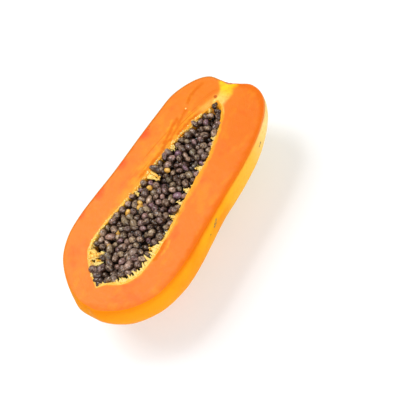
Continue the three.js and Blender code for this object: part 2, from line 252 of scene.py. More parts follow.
def fruit_surface(outline, lobe, t, angle):
    """Grid of points: t runs from stem to blossom, angle from the left rim round the keel."""
    left, right, flank, keel = (
        spline(outline[name], t)[:, None, :] for name in ("left", "right", "flank", "keel")
    )
    angle = np.atleast_2d(angle)
    side, down = np.cos(angle), np.abs(np.sin(angle))
    low = down**4
    middle = (left[..., 0] + right[..., 0]) / 2
    half = (left[..., 1] - right[..., 1]) / 2
    x = middle + (left[..., 0] - right[..., 0]) / 2 * side + (flank[..., 0] - middle) * down
    x = x + (keel[..., 0] - flank[..., 0]) * low
    radius = half + (flank[..., 1] - half) * down + (keel[..., 1] - flank[..., 1]) * low
    radius = radius * (1 + lobe * down**2 * np.cos(5 * (angle - math.pi / 2)))
    y = (left[..., 1] + right[..., 1]) / 2 + radius * side
    return np.stack([x, y, -radius * np.sin(angle)], axis=-1)


def grid_normals(points):
    """Outward normals of a fruit surface grid."""
    normals = np.cross(np.gradient(points, axis=0), np.gradient(points, axis=1))
    length = np.linalg.norm(normals, axis=-1, keepdims=True)
    normals = normals / np.maximum(length, 1e-9)
    normals[0], normals[-1] = (1, 0, 0), (-1, 0, 0)
    return normals


def centre_of_outline():
    """Middle of the fruit's outline, which the shared frame has above its origin."""
    points = fruit_surface(SKIN, SKIN_LOBE, np.linspace(0, 1, 55), np.linspace(0, math.pi, 27))
    points = points.reshape(-1, 3)
    return (points.min(axis=0) + points.max(axis=0)) / 2


CENTRE = centre_of_outline()
CUT_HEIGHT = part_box("fruit_half")[1][2]


def to_frame(points):
    """Fruit-frame millimetres to metres in the shared frame, never below the surface."""
    points = np.asarray(points, float)
    moved = (points - (CENTRE[0], CENTRE[1], 0)) * MM
    moved[..., 2] = np.maximum(moved[..., 2] + CUT_HEIGHT, 0.0)
    return moved


# ------------------------------------------------------------------ layout of the seeds


def random_source(name):
    """Even random numbers from 0 to 1, the same ones every time."""
    state = DRAWS[name]

    def draw():
        nonlocal state
        state = (state * 1664525 + 1013904223) % 4294967296
        return state / 4294967296

    return draw


def edge_loop(outline, steps):
    """Closed loop of (x, y) round a cut outline: left rim to the blossom, right rim back."""
    out = spline(outline["left"], np.arange(steps) / steps)
    back = spline(outline["right"], 1 - np.arange(steps) / steps)
    return np.concatenate([out, back])


CAVITY_EDGE = [tuple(point) for point in edge_loop(CAVITY, 30).tolist()]
SIDES = list(zip(CAVITY_EDGE, CAVITY_EDGE[1:] + CAVITY_EDGE[:1]))


def unit(vectors):
    """Vectors of length 1 in the same directions."""
    return vectors / np.linalg.norm(vectors, axis=-1, keepdims=True)


def nearest_on_segment(point, start, end):
    """Nearest point of a segment in the cut plane."""
    along = (end[0] - start[0], end[1] - start[1])
    share = (point[0] - start[0]) * along[0] + (point[1] - start[1]) * along[1]
    share = min(max(share / (along[0] ** 2 + along[1] ** 2), 0.0), 1.0)
    return start[0] + along[0] * share, start[1] + along[1] * share


def wall_at(point):
    """Nearest point of the cavity's edge, the way inward from it, and the depth inside it."""
    nearest, best, inside = None, math.inf, False
    for start, end in SIDES:
        candidate = nearest_on_segment(point, start, end)
        distance = math.hypot(candidate[0] - point[0], candidate[1] - point[1])
        if distance < best:
            nearest, best = candidate, distance
        if (start[1] > point[1]) != (end[1] > point[1]):
            reach = (end[0] - start[0]) * (point[1] - start[1]) / (end[1] - start[1]) + start[0]
            inside = inside != (point[0] < reach)
    turn = (1 if inside else -1) / max(best, 1e-9)
    inward = ((point[0] - nearest[0]) * turn, (point[1] - nearest[1]) * turn)
    return nearest, inward, best if inside else -best


def frayed_share(x, y):
    """1 along the right wall at the blossom end, where the fringe is widest, and 0 elsewhere."""
    return float(smoothstep(-y, *FRAYED_ACROSS) * (1 - smoothstep(x, *FRAYED_ALONG)))


def seed_margin(point):
    """Distance kept between the cavity's edge and the middle of a seed."""
    return 2 * GAP + LINING + SEED_SIZE[1] + FRINGE_ROOM * frayed_share(*point)


def heap_height(x, y):
    """Height of the heap of seeds, measured at their middles."""
    low = smoothstep(y, *SUNK_ACROSS) * (1 - smoothstep(x, *SUNK_ALONG))
    return SEED_HEIGHT - HEAP_DROP * low


def left_gap(x, y):
    """How far the heap lies below the left wall, from 0 to 1 at the blossom end."""
    return float(smoothstep(y, *BARE_ACROSS) * (1 - smoothstep(x, *BARE_ALONG)))


def between(start, end, share):
    """Point at a share of the way from start to end in the cut plane."""
    return [start[0] + (end[0] - start[0]) * share, start[1] + (end[1] - start[1]) * share]


def spaced_along_edge(spacing):
    """Evenly spaced points along the cavity's edge."""
    lengths = [math.dist(start, end) for start, end in SIDES]
    total = sum(lengths)
    count = int(total // spacing)
    points, side, passed = [], 0, 0.0
    for step in range(count):
        goal = total * step / count
        while passed + lengths[side] < goal:
            passed += lengths[side]
            side += 1
        points.append(between(*SIDES[side], (goal - passed) / lengths[side]))
    return points


def first_places(draw):
    """A row of seeds along the wall and a loose triangular grid inside it."""
    wall_row = []
    for foot in spaced_along_edge(WALL_ROW_STEP * SEED_SPACING):
        middle = (min(max(foot[0], HEAP_ENDS[0]), HEAP_ENDS[1]), HEAP_AXIS)
        wall_row.append(between(foot, middle, seed_margin(foot) / math.dist(foot, middle)))
    inside, row_step = [], SEED_SPACING * ROW_STEP
    for row in range(ROWS_OF_SEEDS):
        for column in range(SEEDS_IN_ROW):
            shift = 0.5 if row % 2 else 0
            x = FIRST_COLUMN + (column + shift) * SEED_SPACING + (draw() - 0.5) * PLAY
            y = (row - (ROWS_OF_SEEDS - 1) / 2) * row_step + (draw() - 0.5) * PLAY
            nearest = min(math.dist(other, (x, y)) for other in wall_row)
            clear = nearest > CLEAR_OF_WALL_ROW * SEED_SPACING
            if clear and wall_at((x, y))[2] > seed_margin((x, y)):
                inside.append([x, y])
    return wall_row + inside


def spread(places):
    """One round in which neighbours push each other apart."""
    for i, first in enumerate(places):
        for second in places[i + 1:]:
            dx, dy = second[0] - first[0], second[1] - first[1]
            if abs(dx) >= SEED_SPACING or abs(dy) >= SEED_SPACING:
                continue
            length = math.hypot(dx, dy)
            overlap = SEED_SPACING - length
            if overlap > 0:
                move(second, (dx, dy), overlap * PUSH / (length or 1))
                move(first, (dx, dy), -overlap * PUSH / (length or 1))


def move(place, way, share):
    """Moves a place by a share of a way."""
    place[0] += way[0] * share
    place[1] += way[1] * share


def keep_clear(place, lumps):
    """Moves a seed off the lumps of lining and away from the wall."""
    for root, tip, radius in lumps:
        nearest = nearest_on_segment(place, root, tip)
        dx, dy = place[0] - nearest[0], place[1] - nearest[1]
        length = math.hypot(dx, dy)
        overlap = radius + GAP + SEED_SIZE[1] - length
        if overlap > 0:
            place[0] += dx * overlap / (length or 1)
            place[1] += dy * overlap / (length or 1)
    _, inward, depth = wall_at(place)
    move(place, inward, max(seed_margin(place) - depth, 0.0))


def turn_matrix(x, y, z):
    """Rotation about x, y and z, the z turn first."""
    return Matrix.Rotation(x, 3, "X") @ Matrix.Rotation(y, 3, "Y") @ Matrix.Rotation(z, 3, "Z")


def random_turn(draw):
    """Rotation by random turns about x, y and z."""
    return turn_matrix(*(draw() * FULL_TURN for _ in range(3)))


def lay_out_seeds():
    """Middle, rotation and size of every seed of the top layer."""
    draw = random_source("layout")
    places = first_places(draw)
    lumps = [(wall_at((x, y))[0], (x, y), radius) for x, y, radius in LUMPS]
    for _ in range(SPREAD_ROUNDS):
        spread(places)
        for place in places:
            keep_clear(place, lumps)
    seeds = []
    for x, y in places:
        height = float(heap_height(x, y)) + (draw() - 0.5) * 2 * SEED_SCATTER
        seeds.append(((x, y, height), random_turn(draw), 0.92 + draw() * 0.14))
    return seeds


SEEDS = lay_out_seeds()


# ------------------------------------------------------------------ mesh helpers

SAME_POINT = 2e-6  # metres


def grid_faces(rows, columns, closed=False):
    """Faces of a grid of rows by columns, closed round the columns where asked."""
    first = np.arange(rows - 1)[:, None] * columns
    across = np.arange(columns if closed else columns - 1)[None, :]
    beside = (across + 1) % columns
    quads = np.stack(
        [first + across, first + beside, first + columns + beside, first + columns + across],
        axis=-1,
    )
    return quads.reshape(-1, 4)


def ring_body(ring):
    """Points in the shared frame and faces of closed rows of points."""
    return to_frame(ring), grid_faces(*ring.shape[:2], closed=True)


def join_parts(parts):
    """One array of points and one of faces from several (points, faces) pairs."""
    points, faces, offset = [], [], 0
    for part_points, part_faces in parts:
        points.append(np.asarray(part_points, float).reshape(-1, 3))
        faces.append(np.asarray(part_faces) + offset)
        offset += len(points[-1])
    return np.concatenate(points), np.concatenate(faces)


def new_piece(name, points, faces, material, values=None, close=True):
    """A smooth mesh object of points in metres, with named values at its points."""
    if name in bpy.data.objects:
        bpy.data.objects.remove(bpy.data.objects[name])
    points, faces = np.asarray(points).reshape(-1, 3), np.asarray(faces)
    mesh = bpy.data.meshes.new(name)
    mesh.from_pydata(points.tolist(), [], faces.tolist())
    for label, numbers in (values or {}).items():
        layer = mesh.attributes.new(label, "FLOAT", "POINT")
        layer.data.foreach_set("value", np.asarray(numbers, np.float32).ravel())
    if close:
        close_mesh(mesh)
    mesh.shade_smooth()
    piece = bpy.data.objects.new(name, mesh)
    bpy.context.scene.collection.objects.link(piece)
    mesh.materials.append(material)
    return piece


def close_mesh(mesh):
    """Joins points that lie together and turns every face outward."""
    shape = bmesh.new()
    shape.from_mesh(mesh)
    bmesh.ops.remove_doubles(shape, verts=shape.verts, dist=SAME_POINT)
    bmesh.ops.recalc_face_normals(shape, faces=shape.faces)
    shape.to_mesh(mesh)
    shape.free()


def noise_at(points, size, strength=1.0, shift=0.0):
    """Smooth noise from about -1 to 1 at points in millimetres, size millimetres broad."""
    flat = np.asarray(points, float).reshape(-1, 3) / size + shift
    values = [noise.noise(Vector(point)) for point in flat]
    return strength * np.array(values).reshape(np.asarray(points).shape[:-1])


def distances_to(points, line):
    """Distance in the cut plane from each point to the nearest point of a closed line."""
    flat = points.reshape(-1, points.shape[-1])[:, :2]
    start = line[None, :, :2]
    along = np.roll(line, -1, axis=0)[None, :, :2] - start
    result = []
    for chunk in np.array_split(flat, max(1, len(flat) // 2000)):
        offset = chunk[:, None, :] - start
        share = (offset * along).sum(-1) / np.maximum((along**2).sum(-1), 1e-12)
        offset = offset - along * np.clip(share, 0, 1)[..., None]
        result.append(np.sqrt((offset**2).sum(-1)).min(axis=1))
    return np.concatenate(result).reshape(points.shape[:-1])


def finish_piece(piece, slot, *nodes):
    """The piece rides with the fruit and stands for the nodes, which it hides; the slot is not
    used.
    """
    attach(piece, "root")
    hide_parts(*nodes)


# ------------------------------------------------------------------ shapes of the pieces

EDGE_STEPS, FINE_STEPS = 240, 1501
CORNER, CORNER_STEPS = 0.8, 4  # rounding of the cavity's edge
FLESH_ROWS, UNDER_COLUMNS, WALL_COLUMNS, FACE_COLUMNS = 260, 90, 54, 40
SKIN_ROWS, SKIN_COLUMNS, SKIN_INNER_COLUMNS = 300, 130, 50
LINING_ROWS, LINING_COLUMNS = 280, 100
SCAR_ROWS, SCAR_COLUMNS, SCAR_DEPTH = 26, 60, 1.1
RIM_STEPS = 3  # lines of a shell's rounded rim
BED_ROWS, BED_COLUMNS, BED_TOP_COLUMNS, BED_DEPTH = 160, 48, 56, 6.2
FAR, STREAK_REACH = 99.0, 9.0  # distance beyond any effect, and where a streak's effect ends


def inset_outline(outline, distance):
    """The outline with every profile moved inward by a distance."""
    moved = {}
    for name, profile in outline.items():
        points = np.array(profile, float)
        along = unit(np.gradient(points, axis=0))
        inward = np.stack([-along[:, 1], along[:, 0]], axis=1)
        if name == "right":
            inward = -inward
        inward[0], inward[-1] = (-1, 0), (1, 0)
        moved[name] = points + inward * distance
    return moved


def even_rows(outline, count):
    """Parameters that space a surface's rows evenly from the stem to the blossom tip."""
    t = np.linspace(0, 1, FINE_STEPS)
    steps = sum(
        np.linalg.norm(np.diff(spline(outline[name], t), axis=0), axis=1)
        for name in ("left", "right", "keel")
    )
    passed = np.concatenate([[0.0], np.cumsum(steps)])
    return np.interp(np.linspace(0, passed[-1], count), passed, t)


def waver(points, to_cavity):
    """Moves points near the cavity's edge a little sideways, the same for every piece."""
    share = np.exp(-np.abs(to_cavity) / 2.5) * np.exp(np.minimum(points[..., 2], 0) / 6)
    flat = points * (1, 1, 0)
    moved = points.copy()
    moved[..., 0] += noise_at(flat, 7.0, 0.5, 3.1) * share
    moved[..., 1] += noise_at(flat, 5.5, 0.7, 8.7) * share
    return moved


def wall_angles(corner, half, step):
    """Angles of the cavity's columns in each row, closer together at both rounded edges."""
    ratio = np.where(half > 1e-6, corner / np.maximum(half, 1e-6), 0.4)
    first = np.arcsin(ratio)[:, None] * step
    across = np.linspace(0, 1, WALL_COLUMNS)[1:-1]
    rest = first[:, -1:] + (math.pi - 2 * first[:, -1:]) * across
    return np.concatenate([first, rest, math.pi - first[:, ::-1]], axis=1)


def cut_face(edge, rim, wall, sides, corner, step):
    """One side of the cut face from the cavity to the rim; rounds the wall's top to meet it."""
    length = np.linalg.norm(rim - edge, axis=1)
    out = (rim - edge) / length[:, None]
    for share, side in zip(step, sides):
        slant = math.radians(45 * (1 - share))
        wall[:, side, :2] += out * (corner * (1 - math.cos(slant)))[:, None]
        wall[:, side, 2] = -corner * (1 - math.sin(slant))
    slant = np.radians(45 * (1 + step))[None, :]
    across = (1 - np.cos(math.pi * np.linspace(0, 1, FACE_COLUMNS)[1:])) / 2
    near = corner[:, None] * (1 - np.cos(slant))
    far = corner[:, None] + (length - corner)[:, None] * across
    distance = np.concatenate([near, far], axis=1)
    flat = edge[:, None, :] + out[:, None, :] * distance[..., None]
    sunk = np.zeros_like(distance)
    sunk[:, : len(step)] = corner[:, None] * (1 - np.sin(slant))
    return np.concatenate([flat, -sunk[..., None]], axis=-1)


def flesh_values(ring, to_cavity, to_rim, on_face):
    """Numbers at the points of the flesh that its colours follow."""
    x, y = ring[..., 0], ring[..., 1]
    left = smoothstep(y, -2, 2)
    width = np.interp(x, HALO_PLACES, HALO_LEFT) * left
    width += np.interp(x, HALO_PLACES, HALO_RIGHT) * (1 - left)
    middle = np.interp(x, WEDGE_PLACES, WEDGE_MIDDLE)
    half = np.interp(x, WEDGE_PLACES, WEDGE_HALF)
    wedge = (1 - smoothstep(np.abs(y - middle) / half, 0.55, 1.15)) * smoothstep(x, 210, 216)
    right_of_tip = (1 - smoothstep(to_cavity, 0.3, 2.4)) * (1 - left) * smoothstep(x, 206, 213)
    left_of_tip = (1 - smoothstep(to_cavity, 1.5, 7.5)) * left * smoothstep(x, 197, 209)
    wedge = np.maximum(wedge, 0.8 * right_of_tip + 0.6 * left_of_tip)
    return {
        "to_cavity": to_cavity,
        "halo": to_cavity / width,
        "rim": to_rim / (1.9 + 3.4 * (1 - left)),
        "to_dark": streak_distance(ring, DARK_STREAKS),
        "to_pale": streak_distance(ring, PALE_STREAKS),
        "wedge": wedge * on_face,
    }


def flesh_body(thickness, relief):
    """Points, faces and values of the flesh between the skin and the cavity."""
    outer, t_inner = inset_outline(SKIN, thickness), even_rows(CAVITY, FLESH_ROWS)
    round_under = np.linspace(0, math.pi, UNDER_COLUMNS)
    under = fruit_surface(outer, SKIN_LOBE, even_rows(SKIN, FLESH_ROWS), round_under)
    half = (spline(CAVITY["left"], t_inner) - spline(CAVITY["right"], t_inner))[:, 1] / 2
    corner = np.minimum(CORNER, 0.4 * half)
    step = np.arange(CORNER_STEPS + 1) / CORNER_STEPS
    wall = fruit_surface(CAVITY, CAVITY_LOBE, t_inner, wall_angles(corner, half, step))
    left, right = (
        cut_face(wall[:, sides[0], :2].copy(), under[:, sides[0], :2], wall, sides, corner, step)
        for sides in (range(CORNER_STEPS + 1), range(-1, -CORNER_STEPS - 2, -1))
    )
    ring = np.concatenate([under, right[:, ::-1], wall[:, ::-1], left], axis=1)
    start, end = under.shape[1], under.shape[1] + right.shape[1]
    to_cavity = distances_to(ring, edge_loop(CAVITY, EDGE_STEPS))
    to_rim = distances_to(ring, edge_loop(SKIN, EDGE_STEPS))
    on_wall = np.zeros(ring.shape[:2], bool)
    on_wall[:, end : end + wall.shape[1]] = True
    on_face = ~on_wall
    on_face[:, :start] = False
    to_cavity = np.where(on_wall, 0.0, to_cavity)
    calm = smoothstep(to_rim, 0.3, 3.5) * on_face
    swell = noise_at(ring, 26.0, 0.6, 1.3) + noise_at(ring, 7.0, 0.25, 5.2)
    shoulder = 0.45 * np.exp(-to_cavity / 2.2)
    ring[..., 2] += calm * (relief * (swell - 0.5) - shoulder * smoothstep(to_cavity, 0, 0.9))
    ring[..., 2] -= shoulder * on_wall * np.exp(ring[..., 2] / 2)
    ring = waver(ring, np.where(on_face | on_wall, to_cavity, FAR))
    return *ring_body(ring), flesh_values(ring, to_cavity, to_rim, on_face)


def streak_distance(points, streaks):
    """Distance from each point to the nearest of several open lines, up to a limit."""
    flat = points.reshape(-1, 3)[:, :2]
    nearest = np.full(len(flat), STREAK_REACH)
    for streak in streaks:
        line = spline(streak, np.linspace(0, 1, 40))
        nearest = np.minimum(nearest, np.linalg.norm(flat[:, None] - line, axis=-1).min(axis=1))
    return nearest.reshape(points.shape[:-1])


def rounded_rim(start, end, height):
    """Rounded strip between the rims of two surfaces, without its first and last lines."""
    middle, arm = (start + end) / 2, (start - end) / 2
    width = np.linalg.norm(arm, axis=1)
    lines = []
    for turn in np.linspace(0, math.pi, RIM_STEPS + 2)[1:-1]:
        line = middle + arm * math.cos(turn)
        line[:, 2] += width * math.sin(turn) * height
        lines.append(line)
    return np.stack(lines, axis=1)


def shell_body(outer, inner, height):
    """Closed shell between two surfaces of the same rows, with rounded rims."""
    right = rounded_rim(outer[:, -1], inner[:, -1], height)
    left = rounded_rim(inner[:, 0], outer[:, 0], height)
    return np.concatenate([outer, right, inner[:, ::-1], left], axis=1)


def skin_body(thickness, relief):
    """Points and faces of the skin, with low swellings on its outside."""
    t, inset = even_rows(SKIN, SKIN_ROWS), inset_outline(SKIN, thickness)
    outer = fruit_surface(SKIN, SKIN_LOBE, t, np.linspace(0, math.pi, SKIN_COLUMNS))
    inner = fruit_surface(inset, SKIN_LOBE, t, np.linspace(0, math.pi, SKIN_INNER_COLUMNS))
    normals = grid_normals(outer)
    swell = noise_at(outer, 17.0, relief, 2.2) + noise_at(outer, 5.0, 0.25 * relief, 6.1)
    calm = smoothstep(-outer[..., 2], 0, 6)
    outer += normals * ((swell - 0.6 * relief) * calm)[..., None]
    return ring_body(shell_body(outer, inner, 0.25))


def lining_body(thickness):
    """Points and faces of the lining, sunk a little into the flesh behind it."""
    t = even_rows(CAVITY, LINING_ROWS)
    angle = np.linspace(0, math.pi, LINING_COLUMNS)
    outer = fruit_surface(inset_outline(CAVITY, -0.3), CAVITY_LOBE, t, angle)
    inner = fruit_surface(inset_outline(CAVITY, GAP + thickness), CAVITY_LOBE, t, angle)
    lumpy = noise_at(inner, 3.2, 0.4, 4.4) + noise_at(inner, 9.0, 0.35, 7.7)
    inner += grid_normals(inner) * lumpy[..., None]
    lip = smoothstep(outer[..., 2], -4, 0)
    outer[..., 2] -= lip * (0.75 + noise_at(outer, 6.0, 0.25, 1.9))
    inner[..., 2] -= lip * (0.95 + noise_at(inner, 2.6, 0.45, 2.9))
    return ring_body(waver(shell_body(outer, inner, 0.5), 0.0))


def scar_body(radius):
    """Points and faces of the rough disc that lies in the notch, half of it left by the cut."""
    reach = np.interp(radius, [0, 11], [0, 1 / 14])
    angle = np.linspace(0, math.pi, SCAR_COLUMNS)
    outer = fruit_surface(SKIN, SKIN_LOBE, np.linspace(0, reach, SCAR_ROWS), angle)
    ragged = 1 + noise_at(np.stack([np.cos(angle), np.sin(angle), 0 * angle], axis=-1), 0.5, 0.22)
    outer[..., 1:] *= ragged[:, None]
    inner = outer - (SCAR_DEPTH, 0, 0)
    share = np.linspace(0, 1, SCAR_ROWS)[:, None]
    outer[..., 0] += 0.55 * (1 - share**6) + noise_at(outer, 1.5, 0.22) * (1 - share**3)
    outer[..., 2] = np.minimum(outer[..., 2], 0.0)
    ring = shell_body(outer, inner, 0.0)
    points, faces = ring_body(ring)
    return points, np.concatenate([faces, end_cap(ring, SCAR_COLUMNS)])


def end_cap(ring, columns):
    """Faces that close the last row between the outer and inner surfaces."""
    outer = np.arange(columns - 1)
    inner = columns + RIM_STEPS + (columns - 1 - outer)
    cap = np.stack([outer, outer + 1, inner - 1, inner], axis=1)
    return cap + (ring.shape[0] - 1) * ring.shape[1]


# ------------------------------------------------------------------ fringe and lumps

TUFT_WIDTHS = np.array([1.4, 1.05, 0.92, 0.82, 0.7, 0.42])
TUFT_SIDES = 7
TONGUE_STEPS, TONGUE_SIDES = 18, 16
RIGHT_FIBRES = 0.6  # share of the fibres on the right wall
LAST_FIBRE, SHORTEST_FIBRE = 196, 1.0
WALL_BITS, EDGE_CRUMBS = 320, 120


def ball(steps):
    """Points and triangles of a round ball of radius 1."""
    shape = bmesh.new()
    bmesh.ops.create_icosphere(shape, subdivisions=steps, radius=1.0)
    shape.verts.ensure_lookup_table()
    points = np.array([vertex.co[:] for vertex in shape.verts])
    faces = np.array([[vertex.index for vertex in face.verts] for face in shape.faces])
    shape.free()
    return points, faces


def along_line(line, up):
    """Ways ahead, aside and upward at each point of a line."""
    ahead = unit(np.gradient(line, axis=0))
    side = unit(np.cross(ahead, up))
    return ahead, side, np.cross(side, ahead)


def ways_out(side, top, sides, height=1.0):
    """Ways outward round each point of a line."""
    turn = np.linspace(0, 2 * math.pi, sides, endpoint=False)[None, :, None]
    return side[:, None] * np.cos(turn) + height * top[:, None] * np.sin(turn)


def strand_body(rings, start, end):
    """Points and triangles of a strand through rings, with a point at each end."""
    steps, sides = rings.shape[:2]
    points = np.concatenate([rings.reshape(-1, 3), [start, end]])
    index = np.arange(sides)
    beside, last_ring = (index + 1) % sides, (steps - 1) * sides
    low = [np.full(sides, len(points) - 2), beside, index]
    high = [np.full(sides, len(points) - 1), index + last_ring, beside + last_ring]
    quads = grid_faces(steps, sides, closed=True)
    ends = [np.stack(low, axis=1), np.stack(high, axis=1)]
    return points, np.concatenate([quads[:, [0, 1, 2]], quads[:, [0, 2, 3]], *ends])


def tuft(root, way, bend, length, radius):
    """Tapered bent fibre from a root, with a rounded tip."""
    share = np.linspace(0, 1, len(TUFT_WIDTHS))[:, None]
    line = root + way * length * share + bend * length * share**2
    ahead, side, top = along_line(line, (0.3, 0.2, 1.0))
    width = radius * TUFT_WIDTHS
    rings = line[:, None] + ways_out(side, top, TUFT_SIDES) * width[:, None, None]
    return strand_body(rings, line[0] - ahead[0] * 0.2, line[-1] + ahead[-1] * 0.18)


def free_reach(root, way, wanted):
    """How far a fibre may reach before it is well against a seed."""
    reach = wanted
    for place, _, size in SEEDS:
        offset, radius = np.array(place) - root, SEED_SIZE[1] * size
        along = float(offset @ way)
        if along <= 0 or along > wanted + 4:
            continue
        beside = np.linalg.norm(offset - way * along)
        if beside < radius:
            reach = min(reach, along - math.sqrt(radius**2 - beside**2) + 0.5)
    return reach


def wall_place(outline, t, depth, right):
    """Point of the cavity's wall, a small angle below its left or right edge."""
    angle = np.array([[math.pi - depth if right else depth]])
    return fruit_surface(outline, CAVITY_LOBE, np.array([t]), angle)[0, 0]


def even_pale(part, paleness):
    """A part with the same paleness all over."""
    return part, np.full(len(part[0]), paleness)


def fringe_body(count, length, thickness):
    """The fibres that stand in from the lining, each with its paleness."""
    draw = random_source("fringe")
    inner = inset_outline(CAVITY, GAP + thickness)
    fibres = []
    for _ in range(4 * count):
        if len(fibres) == count:
            break
        t, right = 0.015 + 0.97 * draw(), draw() < RIGHT_FIBRES
        root = wall_place(inner, t, 0.02 + 0.15 * draw() ** 1.5, right)
        root[2] -= 0.75
        frayed = frayed_share(root[0], root[1])
        if draw() > 0.42 + 0.58 * frayed or root[0] > LAST_FIBRE:
            continue
        inward = wall_at((root[0], root[1]))[1]
        swing = (draw() - 0.5) * 1.3
        way = np.array([
            inward[0] * math.cos(swing) - inward[1] * math.sin(swing),
            inward[0] * math.sin(swing) + inward[1] * math.cos(swing),
            (draw() - 0.35) * 0.5,
        ])
        way /= np.linalg.norm(way)
        root = root - way * 0.6
        reach = free_reach(root, way, length * (0.3 + 0.7 * draw()) * (0.55 + 0.45 * frayed))
        if reach < SHORTEST_FIBRE:
            continue
        bend = np.array([(draw() - 0.5) * 0.6, (draw() - 0.5) * 0.6, (draw() - 0.7) * 0.5])
        part = tuft(root, way, bend, reach, 0.36 + 0.5 * draw())
        fibres.append(even_pale(part, 0.25 + 0.35 * draw() + 0.4 * frayed))
    return fibres


def tongue(draw, root, tip, radius, taper=0.55):
    """Torn strand of lining from the wall to its tip, ridged lengthwise, and its paleness."""
    share = np.linspace(0, 1, TONGUE_STEPS)[:, None]
    reach = tip - root
    bow = np.cross(reach, (0, 0, 1)) * 0.3 * (draw() - 0.5) + (0, 0, 0.3 * radius)
    line = root + reach * share + bow * 4 * share * (1 - share)
    ahead, side, top = along_line(line, (0, 0, 1))
    turn = np.linspace(0, 2 * math.pi, TONGUE_SIDES, endpoint=False)[None, :]
    count, phase = 3 + int(draw() * 3), draw() * FULL_TURN
    ridge = np.sin(count * turn + phase + 2.5 * share)
    width = radius * (1.2 - taper * share) * np.sqrt(np.maximum(1 - share**8, 0.09))
    shift = draw() * 40
    base = line[:, None] + ways_out(side, top, TONGUE_SIDES) * radius
    rough = noise_at(base, 1.3, 0.34, shift) + noise_at(base, 0.5, 0.14, shift + 7)
    width = width * (1 + 0.13 * ridge + rough)
    rings = line[:, None] + ways_out(side, top, TONGUE_SIDES, 0.72) * width[..., None]
    body = strand_body(rings, line[0] - ahead[0] * 0.2, line[-1] + ahead[-1] * 0.3 * radius)
    pale = 0.35 + 0.3 * ridge + 1.4 * rough + 0.25 * (draw() - 0.3)
    return body, np.concatenate([np.clip(pale, 0, 1).reshape(-1), [0.3, 0.5]])


def crumb(draw, template, centre, size):
    """Small ragged bit of lining."""
    points, faces = template
    stretch = np.array([0.75 + 0.9 * draw(), 0.7 + 0.5 * draw(), 0.6 + 0.5 * draw()])
    shift = draw() * 40
    rough = noise_at(points, 0.8, 0.5, shift) + noise_at(points, 0.35, 0.2, shift + 5)
    turn = np.array(random_turn(draw))
    return (points * (1 + rough)[:, None] * stretch * size) @ turn.T + centre, faces


def lumps(draw, plain):
    """Torn strands and crumbs that reach in between the seeds."""
    for (x, y, radius), cream in zip(LUMPS, LUMP_PALENESS):
        root, tip = np.array(wall_at((x, y))[0]), np.array([x, y])
        ahead = (tip - root) / np.linalg.norm(tip - root)
        aside = np.array([-ahead[1], ahead[0]])
        for k in (-2, -1, 0, 1, 2):
            side = k * 0.42 * radius + (draw() - 0.5) * 0.4 * radius
            share = 1 - 0.12 * abs(k) * (0.6 + draw())
            start = root + aside * side * 1.3 - ahead * 0.8
            stop = root + (tip - root) * share + aside * side * 0.8
            start = np.array([*start, LUMP_HEIGHT - 0.6 * draw()])
            stop = np.array([*stop, LUMP_HEIGHT + 0.5 - 0.7 * abs(k) * draw()])
            strand, paleness = tongue(draw, start, stop, radius * (0.34 + 0.16 * draw()))
            yield strand, np.clip(cream - 0.3 + 0.75 * paleness, 0, 1)
        for _ in range(int(5 + 3 * radius)):
            share = draw() ** 0.6
            beside = (np.array([draw(), draw()]) - 0.5) * 1.9 * radius
            centre = root + (tip - root) * share + beside
            if wall_at(tuple(centre))[2] < 0.8:
                continue
            height = LUMP_HEIGHT - 0.2 + 1.3 * draw()
            part = crumb(draw, plain, (*centre, height), 0.3 + 0.55 * draw())
            yield even_pale(part, cream * (0.4 + 0.8 * draw()))


def teeth(draw):
    """The longest teeth of the fringe, which stop short of the seeds."""
    for start, stop, radius in TEETH:
        root, tip = np.array([*start, LUMP_HEIGHT]), np.array([*stop, LUMP_HEIGHT + 0.6])
        way = (tip - root) / np.linalg.norm(tip - root)
        reach = free_reach(root, way, float(np.linalg.norm(tip - root)) - 0.6) + 0.6
        strand, paleness = tongue(draw, root - way * 0.6, root + way * reach, 1.3 * radius, 0.85)
        yield strand, 0.3 + 0.7 * paleness


def blocks_and_strips(draw, plain):
    """The golden blocks by the left wall, and the pale strips that edge them."""
    for centre, size in BLOCKS:
        yield even_pale(crumb(draw, plain, centre, size), 0.02 + 0.1 * draw())
    for start, stop, radius in STRIPS:
        ends = np.array([*start, LUMP_HEIGHT]), np.array([*stop, LUMP_HEIGHT + 0.4])
        strand, paleness = tongue(draw, *ends, radius, 0.4)
        yield strand, 0.6 + 0.4 * paleness


def wall_bits(draw, plain, thickness):
    """Bits that cling to the wall all round."""
    inner = inset_outline(CAVITY, GAP + thickness)
    for _ in range(WALL_BITS):
        t, right = 0.16 + 0.82 * draw(), draw() < 0.5
        centre = wall_place(inner, t, 0.015 + 0.12 * draw(), right)
        inward = np.array([*wall_at((centre[0], centre[1]))[1], 0])
        down = 3.2 if left_gap(centre[0], centre[1]) > 0.3 else 0.9
        centre = centre + inward * (0.1 + 0.8 * draw()) - (0, 0, down)
        part = crumb(draw, plain, centre, 0.4 + 0.75 * draw() ** 2)
        yield even_pale(part, 0.8 * draw() ** 1.5)


def edge_crumbs(draw):
    """Crumbs along the torn left edge, most of them toward the stem."""
    coarse = ball(2)
    for _ in range(EDGE_CRUMBS):
        centre = wall_place(CAVITY, 0.88 - 0.76 * draw() ** 1.9, 0.0, False)
        inward = np.array([*wall_at((centre[0], centre[1] - 1.0))[1], 0])
        centre = centre + inward * (2.0 * draw() ** 1.3 - 0.3) - (0, 0, 0.1 + 0.8 * draw())
        part = crumb(draw, coarse, centre, 0.5 + 0.65 * draw() ** 1.5)
        yield even_pale(part, draw() ** 0.8)


def lump_body(thickness):
    """The ragged lining between the seeds and along the wall, each part with its paleness."""
    draw, plain = random_source("lumps"), ball(3)
    return [
        *lumps(draw, plain),
        *teeth(draw),
        *blocks_and_strips(draw, plain),
        *wall_bits(draw, plain, thickness),
        *edge_crumbs(draw),
    ]


